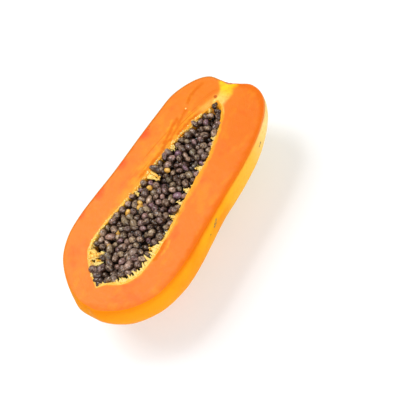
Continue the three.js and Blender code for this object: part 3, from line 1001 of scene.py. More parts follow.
# ------------------------------------------------------------------ seeds

HEAP_MIDDLE = 110  # where the top layer is parted into two pieces
LOWER_RANGE = ((14, 200), (-34, 68))  # start and length of the strewn seeds' range in x and y
LOWER_TRIES, LOWER_SPACING, LOWER_MARGIN, LOWER_DEPTH = 6000, 5.6, 4.4, 4.9
CLEAR_OF_BLOCKS = 3.4


def seed_shape(steps, draw, wrinkle):
    """Points and triangles of one seed, a wrinkled egg of half width 1."""
    points, faces = ball(steps)
    shift = draw() * 50
    ridges = 1 - 2 * np.abs(noise_at(points, 0.46, 1.0, shift))
    fine = 1 - 2 * np.abs(noise_at(points, 0.2, 1.0, shift + 4))
    dents = noise_at(points, 0.75, 1.0, shift + 9)
    size = 1 + wrinkle * (0.6 * ridges + 0.2 * fine + 0.7 * dents)
    points = points * size[:, None]
    points = points * (0.88 + 0.42 * draw(), 0.98, 0.86 + 0.14 * draw())
    taper = 1 - (0.05 + 0.13 * draw()) * points[:, :1]
    points = points * np.concatenate([np.ones_like(taper), taper, taper], axis=1)
    # The third value is high on ridges and low in creases and sets how much film a point gets:
    # partly the film itself, partly painted shade in the creases.
    return points, faces, np.clip(0.42 + 0.3 * ridges + 0.16 * fine + 0.35 * dents, 0, 1)


def placed_seed(shape, place, turn, size):
    """One seed shape set down at its place in the fruit's frame, below the heap's top."""
    points, faces, _ = shape
    stretched = points * (np.array(SEED_SIZE) * size)
    placed = stretched @ np.array(turn).T + place
    placed[:, 2] -= max(0.0, placed[:, 2].max() - SEED_TOP)
    return placed, faces


def seed_heap(seeds, shapes, draw):
    """Joined points, faces and tone of many seeds."""
    parts, tone, ridge_film_and_painted_top_light = [], [], []
    for place, turn, size in seeds:
        shape = shapes[int(draw() * len(shapes))]
        part = placed_seed(shape, place, turn, size)
        parts.append(part)
        tone.append(np.full(len(shape[0]), draw()))
        # Film laid thickest on each seed's top is painted light where light falls on the tops; the
        # shape's share adds film on the ridges. Seeds in the two narrow ends get half as much.
        height = (part[0][:, 2] - place[2]) / (SEED_SIZE[2] * size)
        in_tip = 1 - smoothstep(place[0], 26, 35) * (1 - smoothstep(place[0], 200, 208))
        ridge_film_and_painted_top_light.append((shape[2] * 0.5 + 0.5 * smoothstep(height, 0.1, 1.0)) * (1 - 0.5 * in_tip))
    points, faces = join_parts(parts)
    values = {"tone": np.concatenate(tone), "ridge_film_and_painted_top_light": np.concatenate(ridge_film_and_painted_top_light)}
    return to_frame(points), faces, values


def loosened(seeds, draw):
    """The seeds with more play in height, place and size, some of them sunk in pockets."""
    loose = []
    for (x, y, z), turn, size in seeds:
        if any(math.dist((x, y), block[0][:2]) < CLEAR_OF_BLOCKS for block in BLOCKS):
            continue
        level = float(heap_height(x, y))
        _, inward, depth = wall_at((x, y))
        sunk = 1.4 + 2.2 * draw() if draw() < 0.2 else 0.0
        by_wall = float(1 - smoothstep(depth, 5.2, 8)) * (1 - frayed_share(x, y))
        out = (0.5 + 0.9 * draw()) * by_wall
        sunk *= 1 - by_wall
        lift = 0.5 * by_wall + 1.3 * left_gap(x, y)
        lift += 1.5 * float(1 - smoothstep(x, 25, 38)) + 1.2 * float(smoothstep(x, 196, 204))
        place = (
            x + 1.2 * (draw() - 0.5) - out * inward[0],
            y + 1.2 * (draw() - 0.5) - out * inward[1],
            level + (z - level) * 1.6 - 0.1 - sunk + lift,
        )
        wider = 1.1 - 0.1 * float(smoothstep(x, 64, 90))
        loose.append((place, turn, size * (0.8 + 0.36 * draw()) * wider))
    return loose


def lower_seeds():
    """Places of the seeds that show between those of the top layer."""
    draw = random_source("below")
    places = []
    for _ in range(LOWER_TRIES):
        x, y = (start + draw() * length for start, length in LOWER_RANGE)
        if wall_at((x, y))[2] < LOWER_MARGIN:
            continue
        if all(math.dist((x, y), other) > LOWER_SPACING for other in places):
            places.append((x, y))
    seeds = []
    for x, y in places:
        height = float(heap_height(x, y)) - LOWER_DEPTH + (draw() - 0.5) * 1.6
        seeds.append(((x, y, height), random_turn(draw), 0.9 + 0.14 * draw()))
    return seeds


def gap_near(place):
    """The roomiest place between seeds near a given one."""
    best, room = place, 0.0
    for dx in np.arange(-3.5, 3.6, 0.5):
        for dy in np.arange(-3.5, 3.6, 0.5):
            x, y = place[0] + dx, place[1] + dy
            nearest = min(math.dist((x, y), seed[0][:2]) for seed in SEEDS)
            if nearest > room and wall_at((x, y))[2] > 4:
                best, room = (x, y), nearest
    return best


def golden_seeds():
    """Places of the small seeds that stayed golden."""
    draw = random_source("golden")
    seeds = []
    for place in GOLDEN:
        x, y = gap_near(place)
        close = sorted(SEEDS, key=lambda seed: math.dist((x, y), seed[0][:2]))[:3]
        height = sum(seed[0][2] for seed in close) / 3 + 0.9
        seeds.append(((x, y, height), random_turn(draw), 0.68 + 0.16 * draw()))
    return seeds


def tip_seeds():
    """The small dark seeds of the two narrow ends."""
    draw = random_source("tips")
    return [(place, random_turn(draw), size) for place, size in TIP_SEEDS]


def bed_body():
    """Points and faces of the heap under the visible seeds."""
    outline = inset_outline(CAVITY, GAP + LINING + 0.9)
    angle = np.linspace(0, math.pi, BED_COLUMNS)
    low = fruit_surface(outline, CAVITY_LOBE, even_rows(CAVITY, BED_ROWS), angle)
    share = np.linspace(0, 1, BED_TOP_COLUMNS)[None, 1:-1, None]
    top = low[:, -1:] * (1 - share) + low[:, :1] * share
    rough = noise_at(top * (1, 1, 0), 2.6, 1.3, 2.0)
    top[..., 2] = heap_height(top[..., 0], top[..., 1]) - BED_DEPTH + rough
    level = heap_height(low[..., 0], low[..., 1]) - BED_DEPTH
    low[..., 2] = np.minimum(low[..., 2], level)
    return ring_body(np.concatenate([low, top], axis=1))


# ------------------------------------------------------------------ material helpers


def colour(red, green, blue):
    """Linear colour with alpha from screen values 0 to 255."""
    linear = []
    for value in (red, green, blue):
        share = value / 255
        linear.append(share / 12.92 if share <= 0.04045 else ((share + 0.055) / 1.055) ** 2.4)
    return (*linear, 1.0)


class Finish:
    """A material under construction, with short calls for the nodes that it uses."""

    def __init__(self, name, **settings):
        self.material = bpy.data.materials.new(name)
        self.material.use_nodes = True
        self.tree = self.material.node_tree
        self.tree.nodes.clear()
        output = self.tree.nodes.new("ShaderNodeOutputMaterial")
        self.shader = self.tree.nodes.new("ShaderNodeBsdfPrincipled")
        self.tree.links.new(self.shader.outputs["BSDF"], output.inputs["Surface"])
        for socket, value in settings.items():
            self.shader.inputs[socket.replace("_", " ")].default_value = value
        self.place = self.node("TexCoord").outputs["Object"]
        self.tint = None  # colour so far

    def node(self, kind, inputs=(), **settings):
        """A node with its inputs set or linked."""
        made = self.tree.nodes.new("ShaderNode" + kind)
        for name, value in settings.items():
            setattr(made, name, value)
        for socket, value in dict(inputs).items():
            self.put(made.inputs[socket], value)
        return made

    def put(self, socket, value):
        """Links a value to a socket, or sets it there."""
        if isinstance(value, bpy.types.NodeSocket):
            self.tree.links.new(value, socket)
        else:
            socket.default_value = tuple(value) if hasattr(value, "__len__") else value

    def axes(self):
        """The place's x, y and z."""
        return self.node("SeparateXYZ", {"Vector": self.place}).outputs

    def value(self, name):
        """Number stored at the mesh's points."""
        return self.node("Attribute", attribute_name=name).outputs["Fac"]

    def noise(self, size, detail=3.0, roughness=0.55, place=None, distortion=0.0):
        """Noise from 0 to 1 with features about size metres broad."""
        inputs = {
            "Vector": place or self.place,
            "Scale": 1 / size,
            "Detail": detail,
            "Roughness": roughness,
            "Distortion": distortion,
        }
        return self.node("TexNoise", inputs).outputs["Fac"]

    def cells(self, size, feature="F1"):
        """Distance to the nearest cell point, cells about size metres broad."""
        inputs = {"Vector": self.place, "Scale": 1 / size}
        return self.node("TexVoronoi", inputs, feature=feature).outputs["Distance"]

    def math(self, operation, first, second, clamp=False):
        """Result of a Math node."""
        inputs = {0: first, 1: second}
        return self.node("Math", inputs, operation=operation, use_clamp=clamp).outputs[0]

    def times(self, *values):
        """Product of numbers."""
        return reduce(lambda first, second: self.math("MULTIPLY", first, second), values)

    def plus(self, *values):
        """Sum of numbers."""
        return reduce(lambda first, second: self.math("ADD", first, second), values)

    def rise(self, value, low, high, start=0.0, end=1.0):
        """Smooth step from start to end while value goes from low to high."""
        inputs = {"Value": value, "From Min": low, "From Max": high, "To Min": start, "To Max": end}
        made = self.node("MapRange", inputs, interpolation_type="SMOOTHSTEP")
        return made.outputs["Result"]

    def fall(self, value, low, high, start=1.0):
        """Smooth step from start to 0 while value goes from low to high."""
        return self.rise(value, low, high, start, 0.0)

    def blend(self, share, first, second):
        """Colour between first and second."""
        inputs = {"Factor": share, 6: first, 7: second}
        return self.node("Mix", inputs, data_type="RGBA").outputs[2]

    def lay(self, share, shade):
        """Lays a share of a shade over the tint so far."""
        self.tint = self.blend(share, self.tint, shade)

    def ramp(self, value, *shades):
        """Colour at a value from 0 to 1 along an even row of shades."""
        made = self.node("ValToRGB", {"Fac": value})
        elements = made.color_ramp.elements
        elements[0].color, elements[1].color = shades[0], shades[-1]
        for i, shade in enumerate(shades[1:-1], 1):
            elements.new(i / (len(shades) - 1)).color = shade
        return made.outputs["Color"]

    def spot(self, place, radius, soft):
        """1 at a place in the fruit's frame, falling to 0 at the radius in millimetres."""
        centre = to_frame(np.array(place, float)).tolist()
        made = self.node("VectorMath", {0: self.place, 1: centre}, operation="DISTANCE")
        return self.fall(made.outputs["Value"], radius * MM * soft, radius * MM)

    def stretched(self, *factors):
        """Place multiplied by a factor along each axis."""
        made = self.node("VectorMath", {0: self.place, 1: factors}, operation="MULTIPLY")
        return made.outputs["Vector"]

    def done(self, *bumps):
        """Sets the base colour to the tint and stacks bumps of (height, metres)."""
        self.put(self.shader.inputs["Base Color"], self.tint)
        normal = {}
        for height, depth in bumps:
            inputs = {"Height": height, "Distance": depth, "Strength": 1.0, **normal}
            normal = {"Normal": self.node("Bump", inputs).outputs["Normal"]}
        self.put(self.shader.inputs["Normal"], normal["Normal"])
        return self.material


# ------------------------------------------------------------------ finishes


def flesh_finish(settings):
    """Moist orange flesh: deeper at the rim, golden round the cavity, with cut fibres."""
    finish = Finish(
        "papaya_flesh",
        Subsurface_Weight=0.15,
        Subsurface_Scale=0.003,
        Subsurface_Radius=(1.0, 0.4, 0.12),
        Specular_IOR_Level=0.16,
        Coat_Weight=0.03,
        Coat_Roughness=0.22,
    )
    (x, y, _), to_cavity = finish.axes(), finish.value("to_cavity")
    on_left = finish.rise(y, 0.002, 0.008)
    finish.tint = finish.blend(finish.rise(x, -0.02, 0.1), settings.light, settings.colour)
    finish.lay(finish.rise(finish.noise(0.034, 2.0), 0.4, 0.66, 0.0, 0.5), settings.light)
    toward_notch = finish.rise(x, 0.03, 0.085, 0.4, 0.9)
    finish.lay(finish.times(finish.fall(y, -0.03, 0.005), toward_notch), settings.right)
    reddish = finish.noise(0.021, 2.0, 0.6, place=finish.stretched(1.0, 1.0, 0.2))
    finish.lay(finish.rise(reddish, 0.52, 0.72, 0.0, 0.35), settings.red_tone_and_dent_shade)
    golden = finish.noise(0.017, 2.0, 0.6, place=finish.stretched(0.7, 1.3, 0.2))
    finish.lay(finish.rise(golden, 0.53, 0.7, 0.0, 0.3), settings.halo)
    mottle = finish.noise(0.0032, 4.0, 0.62)
    finish.lay(finish.rise(mottle, 0.45, 0.75, 0.0, 0.3), settings.deep)
    # Golden flesh round the cavity.
    ragged = finish.rise(finish.noise(0.006, 3.0), 0.25, 0.75, -0.35, 0.35)
    reach = finish.plus(finish.value("halo"), ragged)
    finish.lay(finish.fall(reach, 0.05, 1.25, 0.95), settings.halo)
    # Fibres that the cut laid open beside the cavity.
    lines = {"X": finish.times(x, 0.045), "Y": finish.times(to_cavity, MM)}
    lines = finish.node("CombineXYZ", lines).outputs["Vector"]
    fibre = finish.noise(0.0021, 2.0, 0.5, place=lines)
    beside = finish.times(
        finish.rise(to_cavity, 1.5, 3.5), finish.fall(to_cavity, 10.0, 17.0),
        finish.rise(x, -0.03, 0.02), on_left,
    )
    uneven = finish.rise(finish.noise(0.004, 3.0), 0.25, 0.75, -0.9, 0.9)
    dark_line = finish.math(
        "MAXIMUM",
        finish.times(finish.rise(fibre, 0.53, 0.64, 0.0, 0.75), beside),
        finish.fall(finish.plus(finish.value("to_dark"), uneven), 0.2, 3.0, 0.85),
    )
    pale_line = finish.math(
        "MAXIMUM",
        finish.times(finish.fall(fibre, 0.34, 0.45, 0.2), beside),
        finish.fall(finish.plus(finish.value("to_pale"), uneven), 0.1, 2.0, 0.7),
    )
    finish.lay(pale_line, settings.halo)
    finish.lay(dark_line, settings.fibre)
    # Small brown nicks where the lining tore from the left edge.
    nicks = finish.rise(finish.noise(0.0021, 2.0), 0.56, 0.66, 0.0, 0.6)
    by_edge = finish.times(
        finish.fall(to_cavity, 0.6, 2.8), on_left, finish.rise(x, -0.09, -0.07)
    )
    finish.lay(finish.times(nicks, by_edge), settings.nick)
    # Rim under the skin, and painted shade at the dents of the left rim.
    edge = finish.plus(
        finish.value("rim"), finish.rise(finish.noise(0.006), 0.2, 0.8, -0.25, 0.25)
    )
    strong = finish.rise(x, -0.1, -0.02, 0.35, 0.9)
    rim = finish.times(finish.fall(edge, 0.3, 1.35), strong)
    finish.lay(rim, settings.rim)
    for place, radius, share in PAINTED_DENT_SHADES:
        finish.lay(finish.times(finish.spot(place, radius, 0.1), share), settings.red_tone_and_dent_shade)
    # Cream line at the very edge of the cavity, and the wedge up to the notch.
    at_blossom = finish.rise(x, -0.045, 0.015, 0.85, 0.1)
    finish.lay(finish.times(finish.fall(to_cavity, 0.3, 1.4), at_blossom), settings.edge)
    patchy = finish.rise(finish.noise(0.005, 3.0), 0.25, 0.6, 0.6, 1.0)
    yellow = finish.blend(finish.rise(x, 0.1, 0.112), settings.edge, settings.wedge)
    finish.lay(finish.times(finish.value("wedge"), patchy), yellow)
    finish.lay(finish.spot(PIT, 2.5, 0.3), PIT_COLOUR)
    for place, radius, shade in FLECKS:
        finish.lay(finish.spot(place, radius, 0.4), colour(*shade))
    glint = finish.rise(finish.noise(0.002, 3.0), 0.3, 0.7, 0.34, 0.52)
    dull = finish.times(finish.math("MAXIMUM", rim, dark_line), 0.45)
    finish.put(finish.shader.inputs["Roughness"], finish.math("ADD", glint, dull, clamp=True))
    hollow = finish.plus(
        finish.times(finish.spot(PIT, 1.8, 0.2), 0.6), finish.times(dark_line, 0.2)
    )
    return finish.done(
        (finish.noise(0.0011, 4.0), 0.00012),
        (fibre, 0.00015),
        (finish.noise(0.006, 3.0), 0.0003),
        (finish.times(hollow, -1.0), 0.0008),
    )


def skin_finish(settings):
    """Thin waxy golden skin, paler at the stem with painted light on its shoulder, faintly greenish
    under and partly painted shade there, with fine specks.
    """
    finish = Finish(
        "papaya_skin",
        Roughness=0.55,
        Subsurface_Weight=0.12,
        Subsurface_Scale=0.002,
        Subsurface_Radius=(1.0, 0.4, 0.08),
        Specular_IOR_Level=0.05,
    )
    x, y, z = finish.axes()
    broad = finish.rise(finish.noise(0.03, 3.0), 0.35, 0.68)
    finish.tint = finish.blend(broad, settings.colour, settings.deep)
    finish.lay(finish.fall(x, -0.1, 0.01, 0.8), settings.blossom)
    finish.lay(finish.rise(x, 0.006, 0.058), settings.stem)
    # Painted light: the palest skin round the stem stands for light falling on that shoulder.
    finish.lay(finish.rise(x, 0.055, 0.108), settings.shoulder)
    # Unripe greenish patches on the hidden underside and left flank; on the underside they also
    # stand for painted shade toward the floor.
    under = finish.fall(z, 0.012, 0.05)
    flank = finish.times(finish.rise(y, 0.005, 0.055), 0.75)
    patches = finish.rise(finish.noise(0.022, 4.0, 0.6, distortion=0.4), 0.38, 0.78)
    finish.lay(finish.times(finish.math("MAXIMUM", under, flank), patches, 0.75), settings.green)
    mottle = finish.noise(0.0035, 4.0, 0.65)
    finish.lay(finish.rise(mottle, 0.48, 0.78, 0.0, 0.45), settings.deep)
    # Deeper line just under the cut.
    height = finish.plus(z, finish.times(finish.noise(0.01, 3.0), 0.002))
    below = finish.math("SUBTRACT", CUT_HEIGHT + 0.001, height)
    width = finish.rise(x, -0.06, 0.08, 0.0065, 0.0036)
    near_cut = finish.fall(finish.math("DIVIDE", below, width), 0.0, 1.0, 0.85)
    near_cut = finish.times(near_cut, finish.rise(x, -0.1, -0.03, 0.4, 1.0))
    edge = finish.blend(finish.rise(y, 0.0, 0.02), settings.rim, settings.left_rim)
    finish.lay(near_cut, edge)
    # Pores and small brown marks.
    pores = finish.fall(finish.cells(0.0042), 0.07, 0.14)
    finish.lay(finish.times(pores, 0.35), settings.mark)
    rare = finish.rise(finish.noise(0.016), 0.55, 0.68)
    marks = finish.times(finish.fall(finish.cells(0.011), 0.05, 0.1), rare, 0.8)
    finish.lay(marks, settings.mark)
    scuffed = finish.rise(finish.noise(0.0009, 3.0), 0.35, 0.6)
    raised = finish.times(pores, 0.5)
    for place, radius, shade in SCARS:
        patch = finish.times(finish.spot(place, radius, 0.35), scuffed)
        finish.lay(patch, colour(*shade))
        raised = finish.plus(raised, patch)
    return finish.done(
        (raised, 0.00012),
        (finish.noise(0.0016, 3.0), 0.00008),
        (finish.noise(0.009, 2.0), 0.0003),
    )


def lining_finish(name, settings, torn):
    """Soft pale yellow fibrous lining, or its torn parts with their own paleness."""
    finish = Finish(
        name,
        Roughness=0.48,
        Subsurface_Weight=0.3,
        Subsurface_Scale=0.0015,
        Subsurface_Radius=(1.0, 0.6, 0.2),
        Specular_IOR_Level=0.25,
        Coat_Weight=0.08,
        Coat_Roughness=0.25,
    )
    x, _, z = finish.axes()
    patches = finish.rise(finish.noise(0.0045, 4.0, 0.6), 0.34, 0.66, 0.0, 0.95)
    if not torn:
        patches = finish.times(patches, finish.rise(x, -0.05, 0.0, 1.0, 0.12))
    finish.tint = finish.blend(patches, settings.colour, settings.pale)
    if torn:
        finish.lay(finish.value("pale"), settings.pale)
    depth = finish.fall(z, CUT_HEIGHT - 0.009, CUT_HEIGHT - 0.002, 0.75)
    finish.lay(depth, settings.deep)
    if not torn:
        finish.lay(finish.rise(x, -0.04, 0.01, 0.0, 0.7), settings.stem_end)
    thread = finish.noise(0.0016, 4.0, 0.6, place=finish.stretched(0.35, 1.0, 1.0))
    return finish.done((thread, 0.00035), (finish.noise(0.0006, 3.0), 0.0001))


def seed_finish(name, base, films):
    """Wet wrinkled seed coat: a dark body under a lighter film, laid thickest on each seed's top as
    painted light and thinner in the creases than on the ridges, partly as painted shade.
    """
    finish = Finish(
        name,
        Specular_IOR_Level=0.25,
        Coat_Weight=1.0,
        Coat_Roughness=0.13,
        Coat_Tint=(1.0, 0.9, 0.8, 1.0),
        Sheen_Weight=0.04,
        Sheen_Roughness=0.45,
        Sheen_Tint=(0.95, 0.84, 0.78, 1.0),
    )
    tone = finish.value("tone")
    cloud = finish.noise(0.0026, 3.0, 0.6)
    veins = finish.cells(0.0014, "SMOOTH_F1")
    # Film amount: painted light on the seed tops, film on the ridges with painted shade in the
    # creases, cloudy patches and a tone per seed.
    amount = finish.plus(
        finish.rise(finish.value("ridge_film_and_painted_top_light"), 0.2, 0.95, -0.2, 0.8),
        finish.rise(cloud, 0.36, 0.68, -0.24, 0.26),
        finish.rise(veins, 0.2, 0.6, 0.22, -0.26),
        finish.rise(finish.math("FRACT", finish.times(tone, 7.3), 0.0), 0.0, 1.0, -0.34, 0.16),
    )
    wetter = finish.rise(finish.noise(0.024, 2.0), 0.38, 0.62, 0.1, -0.16)
    amount = finish.math("ADD", amount, wetter, clamp=True)
    finish.tint = finish.blend(amount, base, finish.ramp(tone, *films))
    # Small pale specks in the lightest film colour.
    pale_specks = finish.rise(finish.noise(0.0012, 2.0, 0.5), 0.6, 0.7, 0.0, 0.5)
    finish.lay(pale_specks, films[-1])
    finish.put(finish.shader.inputs["Roughness"], finish.rise(cloud, 0.25, 0.8, 0.3, 0.55))
    return finish.done((finish.times(veins, -1.0), 0.0007), (finish.noise(0.0006, 3.0), 0.0002))


def scar_finish(settings):
    """Dry corky end where the stalk came off."""
    finish = Finish("papaya_stem_scar", Roughness=0.78, Specular_IOR_Level=0.25)
    rings = finish.noise(0.0022, 5.0, 0.65)
    finish.tint = finish.blend(finish.rise(rings, 0.35, 0.65), settings.dark, settings.colour)
    finish.lay(finish.times(finish.fall(finish.cells(0.0012), 0.1, 0.3), 0.5), settings.dark)
    return finish.done((rings, 0.0008), (finish.noise(0.0005, 3.0), 0.0002))


def floor_finish(settings):
    """Plain pale studio floor."""
    finish = Finish(
        "studio_floor",
        Roughness=0.6,
        Specular_IOR_Level=0.2,
        Emission_Color=(1.0, 1.0, 1.0, 1.0),
        Emission_Strength=0.38,
    )
    cloud = finish.rise(finish.noise(0.4, 2.0), 0.3, 0.7, 0.0, 0.12)
    finish.tint = finish.blend(cloud, settings.floor, FLOOR_CLOUD)
    return finish.done((finish.noise(0.003, 2.0), 0.00002))


FLOOR_CLOUD = colour(198, 201, 204)
PIT_COLOUR = colour(196, 88, 12)
SEED_FILMS = tuple(colour(*screen) for screen in (
    (158, 132, 112), (180, 154, 134), (148, 134, 106), (170, 136, 126), (134, 98, 130),
    (188, 164, 136), (132, 126, 102), (154, 122, 126), (214, 190, 160),
))
GOLDEN_FILMS = colour(255, 214, 122), colour(244, 212, 116), colour(214, 190, 92)
# Darker copies of the seed colours for the seeds below the top layer and for the bed under them:
# painted shade where the top layer shades them.
SHADED_LOWER_SEED, SHADED_LOWER_FILMS = colour(34, 19, 10), (colour(80, 52, 36), colour(72, 48, 34))
SHADED_BED, SHADED_BED_FILMS = colour(38, 20, 10), (colour(56, 34, 20), colour(50, 32, 20))


# ------------------------------------------------------------------ settings


def colour_setting(name, description, screen):
    """Colour property with its default in screen values."""
    return FloatVectorProperty(
        name=name, description=description, subtype="COLOR", size=4, min=0.0, max=1.0,
        default=colour(*screen),
    )


def length_setting(name, description, millimetres):
    """Length property with its default in millimetres."""
    return FloatProperty(
        name=name, description=description, default=millimetres * MM, min=0.0, unit="LENGTH",
        precision=5,
    )


class FleshSettings(PropertyGroup):
    """Sizes and colours of the flesh"""

    relief: length_setting("Relief", "Height of the low swells of the cut face", 0.35)
    colour: colour_setting("Colour", "Main colour of the cut face", (229, 120, 8))
    light: colour_setting("Light", "Lighter flesh toward the blossom end", (230, 123, 26))
    right: colour_setting("Right side", "Deeper flesh right of the cavity", (227, 112, 6))
    deep: colour_setting("Deep mottle", "Fine darker mottle", (221, 112, 10))
    rim: colour_setting("Rim", "Deeper orange under the skin", (224, 104, 0))
    # Random redder tone over the face, and painted shade at the dents of the left rim.
    red_tone_and_dent_shade: colour_setting("Dents", "Redder orange at the dents of the left rim", (240, 80, 16))
    halo: colour_setting("Halo", "Golden flesh round the cavity", (236, 153, 6))
    fibre: colour_setting("Fibres", "Cut fibres beside the cavity", (218, 104, 0))
    nick: colour_setting("Nicks", "Small brown nicks at the cavity's edge", (176, 84, 14))
    edge: colour_setting("Edge", "Cream line at the cavity's edge and its tip", (250, 198, 96))
    wedge: colour_setting("Wedge", "Yellow flesh at the notch", (250, 198, 12))


class SkinSettings(PropertyGroup):
    """Sizes and colours of the skin"""

    thickness: length_setting("Thickness", "Thickness of the skin", 0.8)
    relief: length_setting("Relief", "Height of the low swellings", 0.3)
    colour: colour_setting("Colour", "Ripe golden skin", (240, 167, 14))
    deep: colour_setting("Deep patches", "Deeper patches of ripe skin", (238, 146, 4))
    blossom: colour_setting("Blossom end", "Deeper skin at the blossom end", (246, 145, 6))
    rim: colour_setting("Rim", "Deeper orange just under the cut", (226, 98, 0))
    left_rim: colour_setting("Left rim", "Browner line under the cut on the left", (186, 112, 30))
    stem: colour_setting("Stem half", "Paler skin of the stem half", (246, 183, 58))
    # Painted light on the shoulder round the stem.
    shoulder: colour_setting("Shoulder", "Palest skin round the stem", (254, 222, 142))
    # Unripe colour of the underside and left flank, also painted shade on the underside.
    green: colour_setting("Unripe", "Green patches of the underside", (166, 172, 52))
    mark: colour_setting("Marks", "Pores and small scars", (176, 116, 40))


class LiningSettings(PropertyGroup):
    """Sizes and colours of the lining"""

    thickness: length_setting("Thickness", "Thickness of the lining", LINING)
    colour: colour_setting("Colour", "Golden lining", (251, 178, 30))
    pale: colour_setting("Pale parts", "Cream parts of the lining", (255, 210, 104))
    deep: colour_setting("Deep down", "Orange further down in the cavity", (236, 140, 24))
    stem_end: colour_setting("Stem end", "More orange lining toward the stem", (246, 156, 22))


class FringeSettings(PropertyGroup):
    """Sizes and colours of the fringe"""

    count: IntProperty(name="Fibres", description="Number of fibres", default=210, min=0)
    length: length_setting("Length", "Longest fibre", 5.4)
    colour: colour_setting("Colour", "Golden fibres", (251, 176, 36))
    pale: colour_setting("Pale fibres", "Cream fibres", (255, 222, 134))
    deep: colour_setting("Deep down", "Orange further down in the cavity", (240, 158, 50))


class SeedSettings(PropertyGroup):
    """Sizes and colours of the seeds"""

    wrinkle: FloatProperty(
        name="Wrinkle", description="Depth of the wrinkles as a share of a seed's size",
        default=0.085, min=0.0, max=0.3, subtype="FACTOR",
    )
    colour: colour_setting("Colour", "Body of the seeds", (54, 29, 15))
    golden: colour_setting("Golden seeds", "Small seeds that stayed golden", (226, 170, 66))


class ScarSettings(PropertyGroup):
    """Sizes and colours of the stem scar"""

    radius: length_setting("Radius", "Reach of the scar from the notch", 5.5)
    colour: colour_setting("Colour", "Dry corky grey", (176, 158, 128))
    dark: colour_setting("Dark", "Dark cracks", (96, 76, 54))


class StageSettings(PropertyGroup):
    """Floor and light"""

    floor: colour_setting("Floor", "Pale floor", (203, 205, 207))
    key: FloatProperty(
        name="Key light", description="Power of the key light", default=13.5, min=0.0,
        unit="POWER",
    )
    fill: FloatProperty(
        name="Fill light", description="Strength of the white surroundings", default=0.42,
        min=0.0,
    )


class PapayaSettings(PropertyGroup):
    """All settings of the papaya half"""

    flesh: PointerProperty(type=FleshSettings)
    skin: PointerProperty(type=SkinSettings)
    lining: PointerProperty(type=LiningSettings)
    fringe: PointerProperty(type=FringeSettings)
    seeds: PointerProperty(type=SeedSettings)
    scar: PointerProperty(type=ScarSettings)
    stage: PointerProperty(type=StageSettings)


# ------------------------------------------------------------------ operators


class PapayaFlesh(Operator):
    """Build the orange flesh with its level cut face and its cavity"""

    bl_idname = "papaya.flesh"
    bl_label = "Flesh"

    def execute(self, context):
        settings = context.scene.papaya.flesh
        inset = context.scene.papaya.skin.thickness / MM
        points, faces, values = flesh_body(inset - 0.05, settings.relief / MM)
        piece = new_piece("flesh", points, faces, flesh_finish(settings), values)
        finish_piece(piece, "flesh", "fruit_half")
        return {"FINISHED"}


class PapayaSkin(Operator):
    """Build the thin skin that wraps the flesh"""

    bl_idname = "papaya.skin"
    bl_label = "Skin"

    def execute(self, context):
        settings = context.scene.papaya.skin
        body = skin_body(settings.thickness / MM, settings.relief / MM)
        piece = new_piece("skin", *body, skin_finish(settings))
        finish_piece(piece, "skin", "fruit_half")
        return {"FINISHED"}


class PapayaScar(Operator):
    """Build the corky scar in the notch where the stalk came off"""

    bl_idname = "papaya.stem_scar"
    bl_label = "Stem scar"

    def execute(self, context):
        settings = context.scene.papaya.scar
        piece = new_piece("stem_scar", *scar_body(settings.radius / MM), scar_finish(settings))
        finish_piece(piece, "skin", "fruit_half")
        return {"FINISHED"}


class PapayaLining(Operator):
    """Build the thin yellow lining of the cavity"""

    bl_idname = "papaya.lining"
    bl_label = "Lining"

    def execute(self, context):
        settings = context.scene.papaya.lining
        finish = lining_finish("papaya_lining", settings, False)
        piece = new_piece("lining", *lining_body(settings.thickness / MM), finish)
        finish_piece(piece, "lining", "placenta")
        return {"FINISHED"}


class PapayaFringe(Operator):
    """Build the fibres and lumps that stand in from the lining"""

    bl_idname = "papaya.fringe"
    bl_label = "Fringe"

    def execute(self, context):
        settings = context.scene.papaya.fringe
        thickness = context.scene.papaya.lining.thickness / MM
        finish = lining_finish("papaya_fringe", settings, True)
        for name, made in (
            ("fringe", fringe_body(settings.count, settings.length / MM, thickness)),
            ("lining_lumps", lump_body(thickness)),
        ):
            parts, pale = zip(*made)
            points, faces = join_parts(parts)
            values = {"pale": np.concatenate(pale)}
            piece = new_piece(name, to_frame(points), faces, finish, values)
            finish_piece(piece, "lining", "placenta")
        return {"FINISHED"}


class PapayaSeeds(Operator):
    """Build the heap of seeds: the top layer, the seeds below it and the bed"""

    bl_idname = "papaya.seeds"
    bl_label = "Seeds"

    def execute(self, context):
        settings = context.scene.papaya.seeds
        draw = random_source("heaps")
        fine = [seed_shape(4, draw, settings.wrinkle) for _ in range(8)]
        plain = [seed_shape(3, draw, settings.wrinkle) for _ in range(3)]
        dark = seed_finish("papaya_seed", settings.colour, SEED_FILMS)
        # The seeds below take a darker copy of the seed colours, painted shade under the top layer.
        below = seed_finish("papaya_lower_seed_painted_shade", SHADED_LOWER_SEED, SHADED_LOWER_FILMS)
        golden = seed_finish("papaya_golden_seed", settings.golden, GOLDEN_FILMS)
        top = loosened(SEEDS, draw) + tip_seeds()
        stem_end = [seed for seed in top if seed[0][0] >= HEAP_MIDDLE]
        blossom_end = [seed for seed in top if seed[0][0] < HEAP_MIDDLE]
        for name, seeds, shapes, finish in (
            ("seeds_stem_end", stem_end, fine, dark),
            ("seeds_blossom_end", blossom_end, fine, dark),
            ("seeds_below", lower_seeds(), plain, below),
            ("seeds_golden", golden_seeds(), fine, golden),
        ):
            points, faces, values = seed_heap(seeds, shapes, draw)
            piece = new_piece(name, points, faces, finish, values, close=False)
            finish_piece(piece, "seed", "seeds")
        # The bed takes a darker copy of the seed colours, painted shade under the seeds.
        bed = new_piece("seed_bed", *bed_body(), seed_finish("papaya_seed_bed_painted_shade", SHADED_BED, SHADED_BED_FILMS))
        finish_piece(bed, "seed", "seeds")
        return {"FINISHED"}


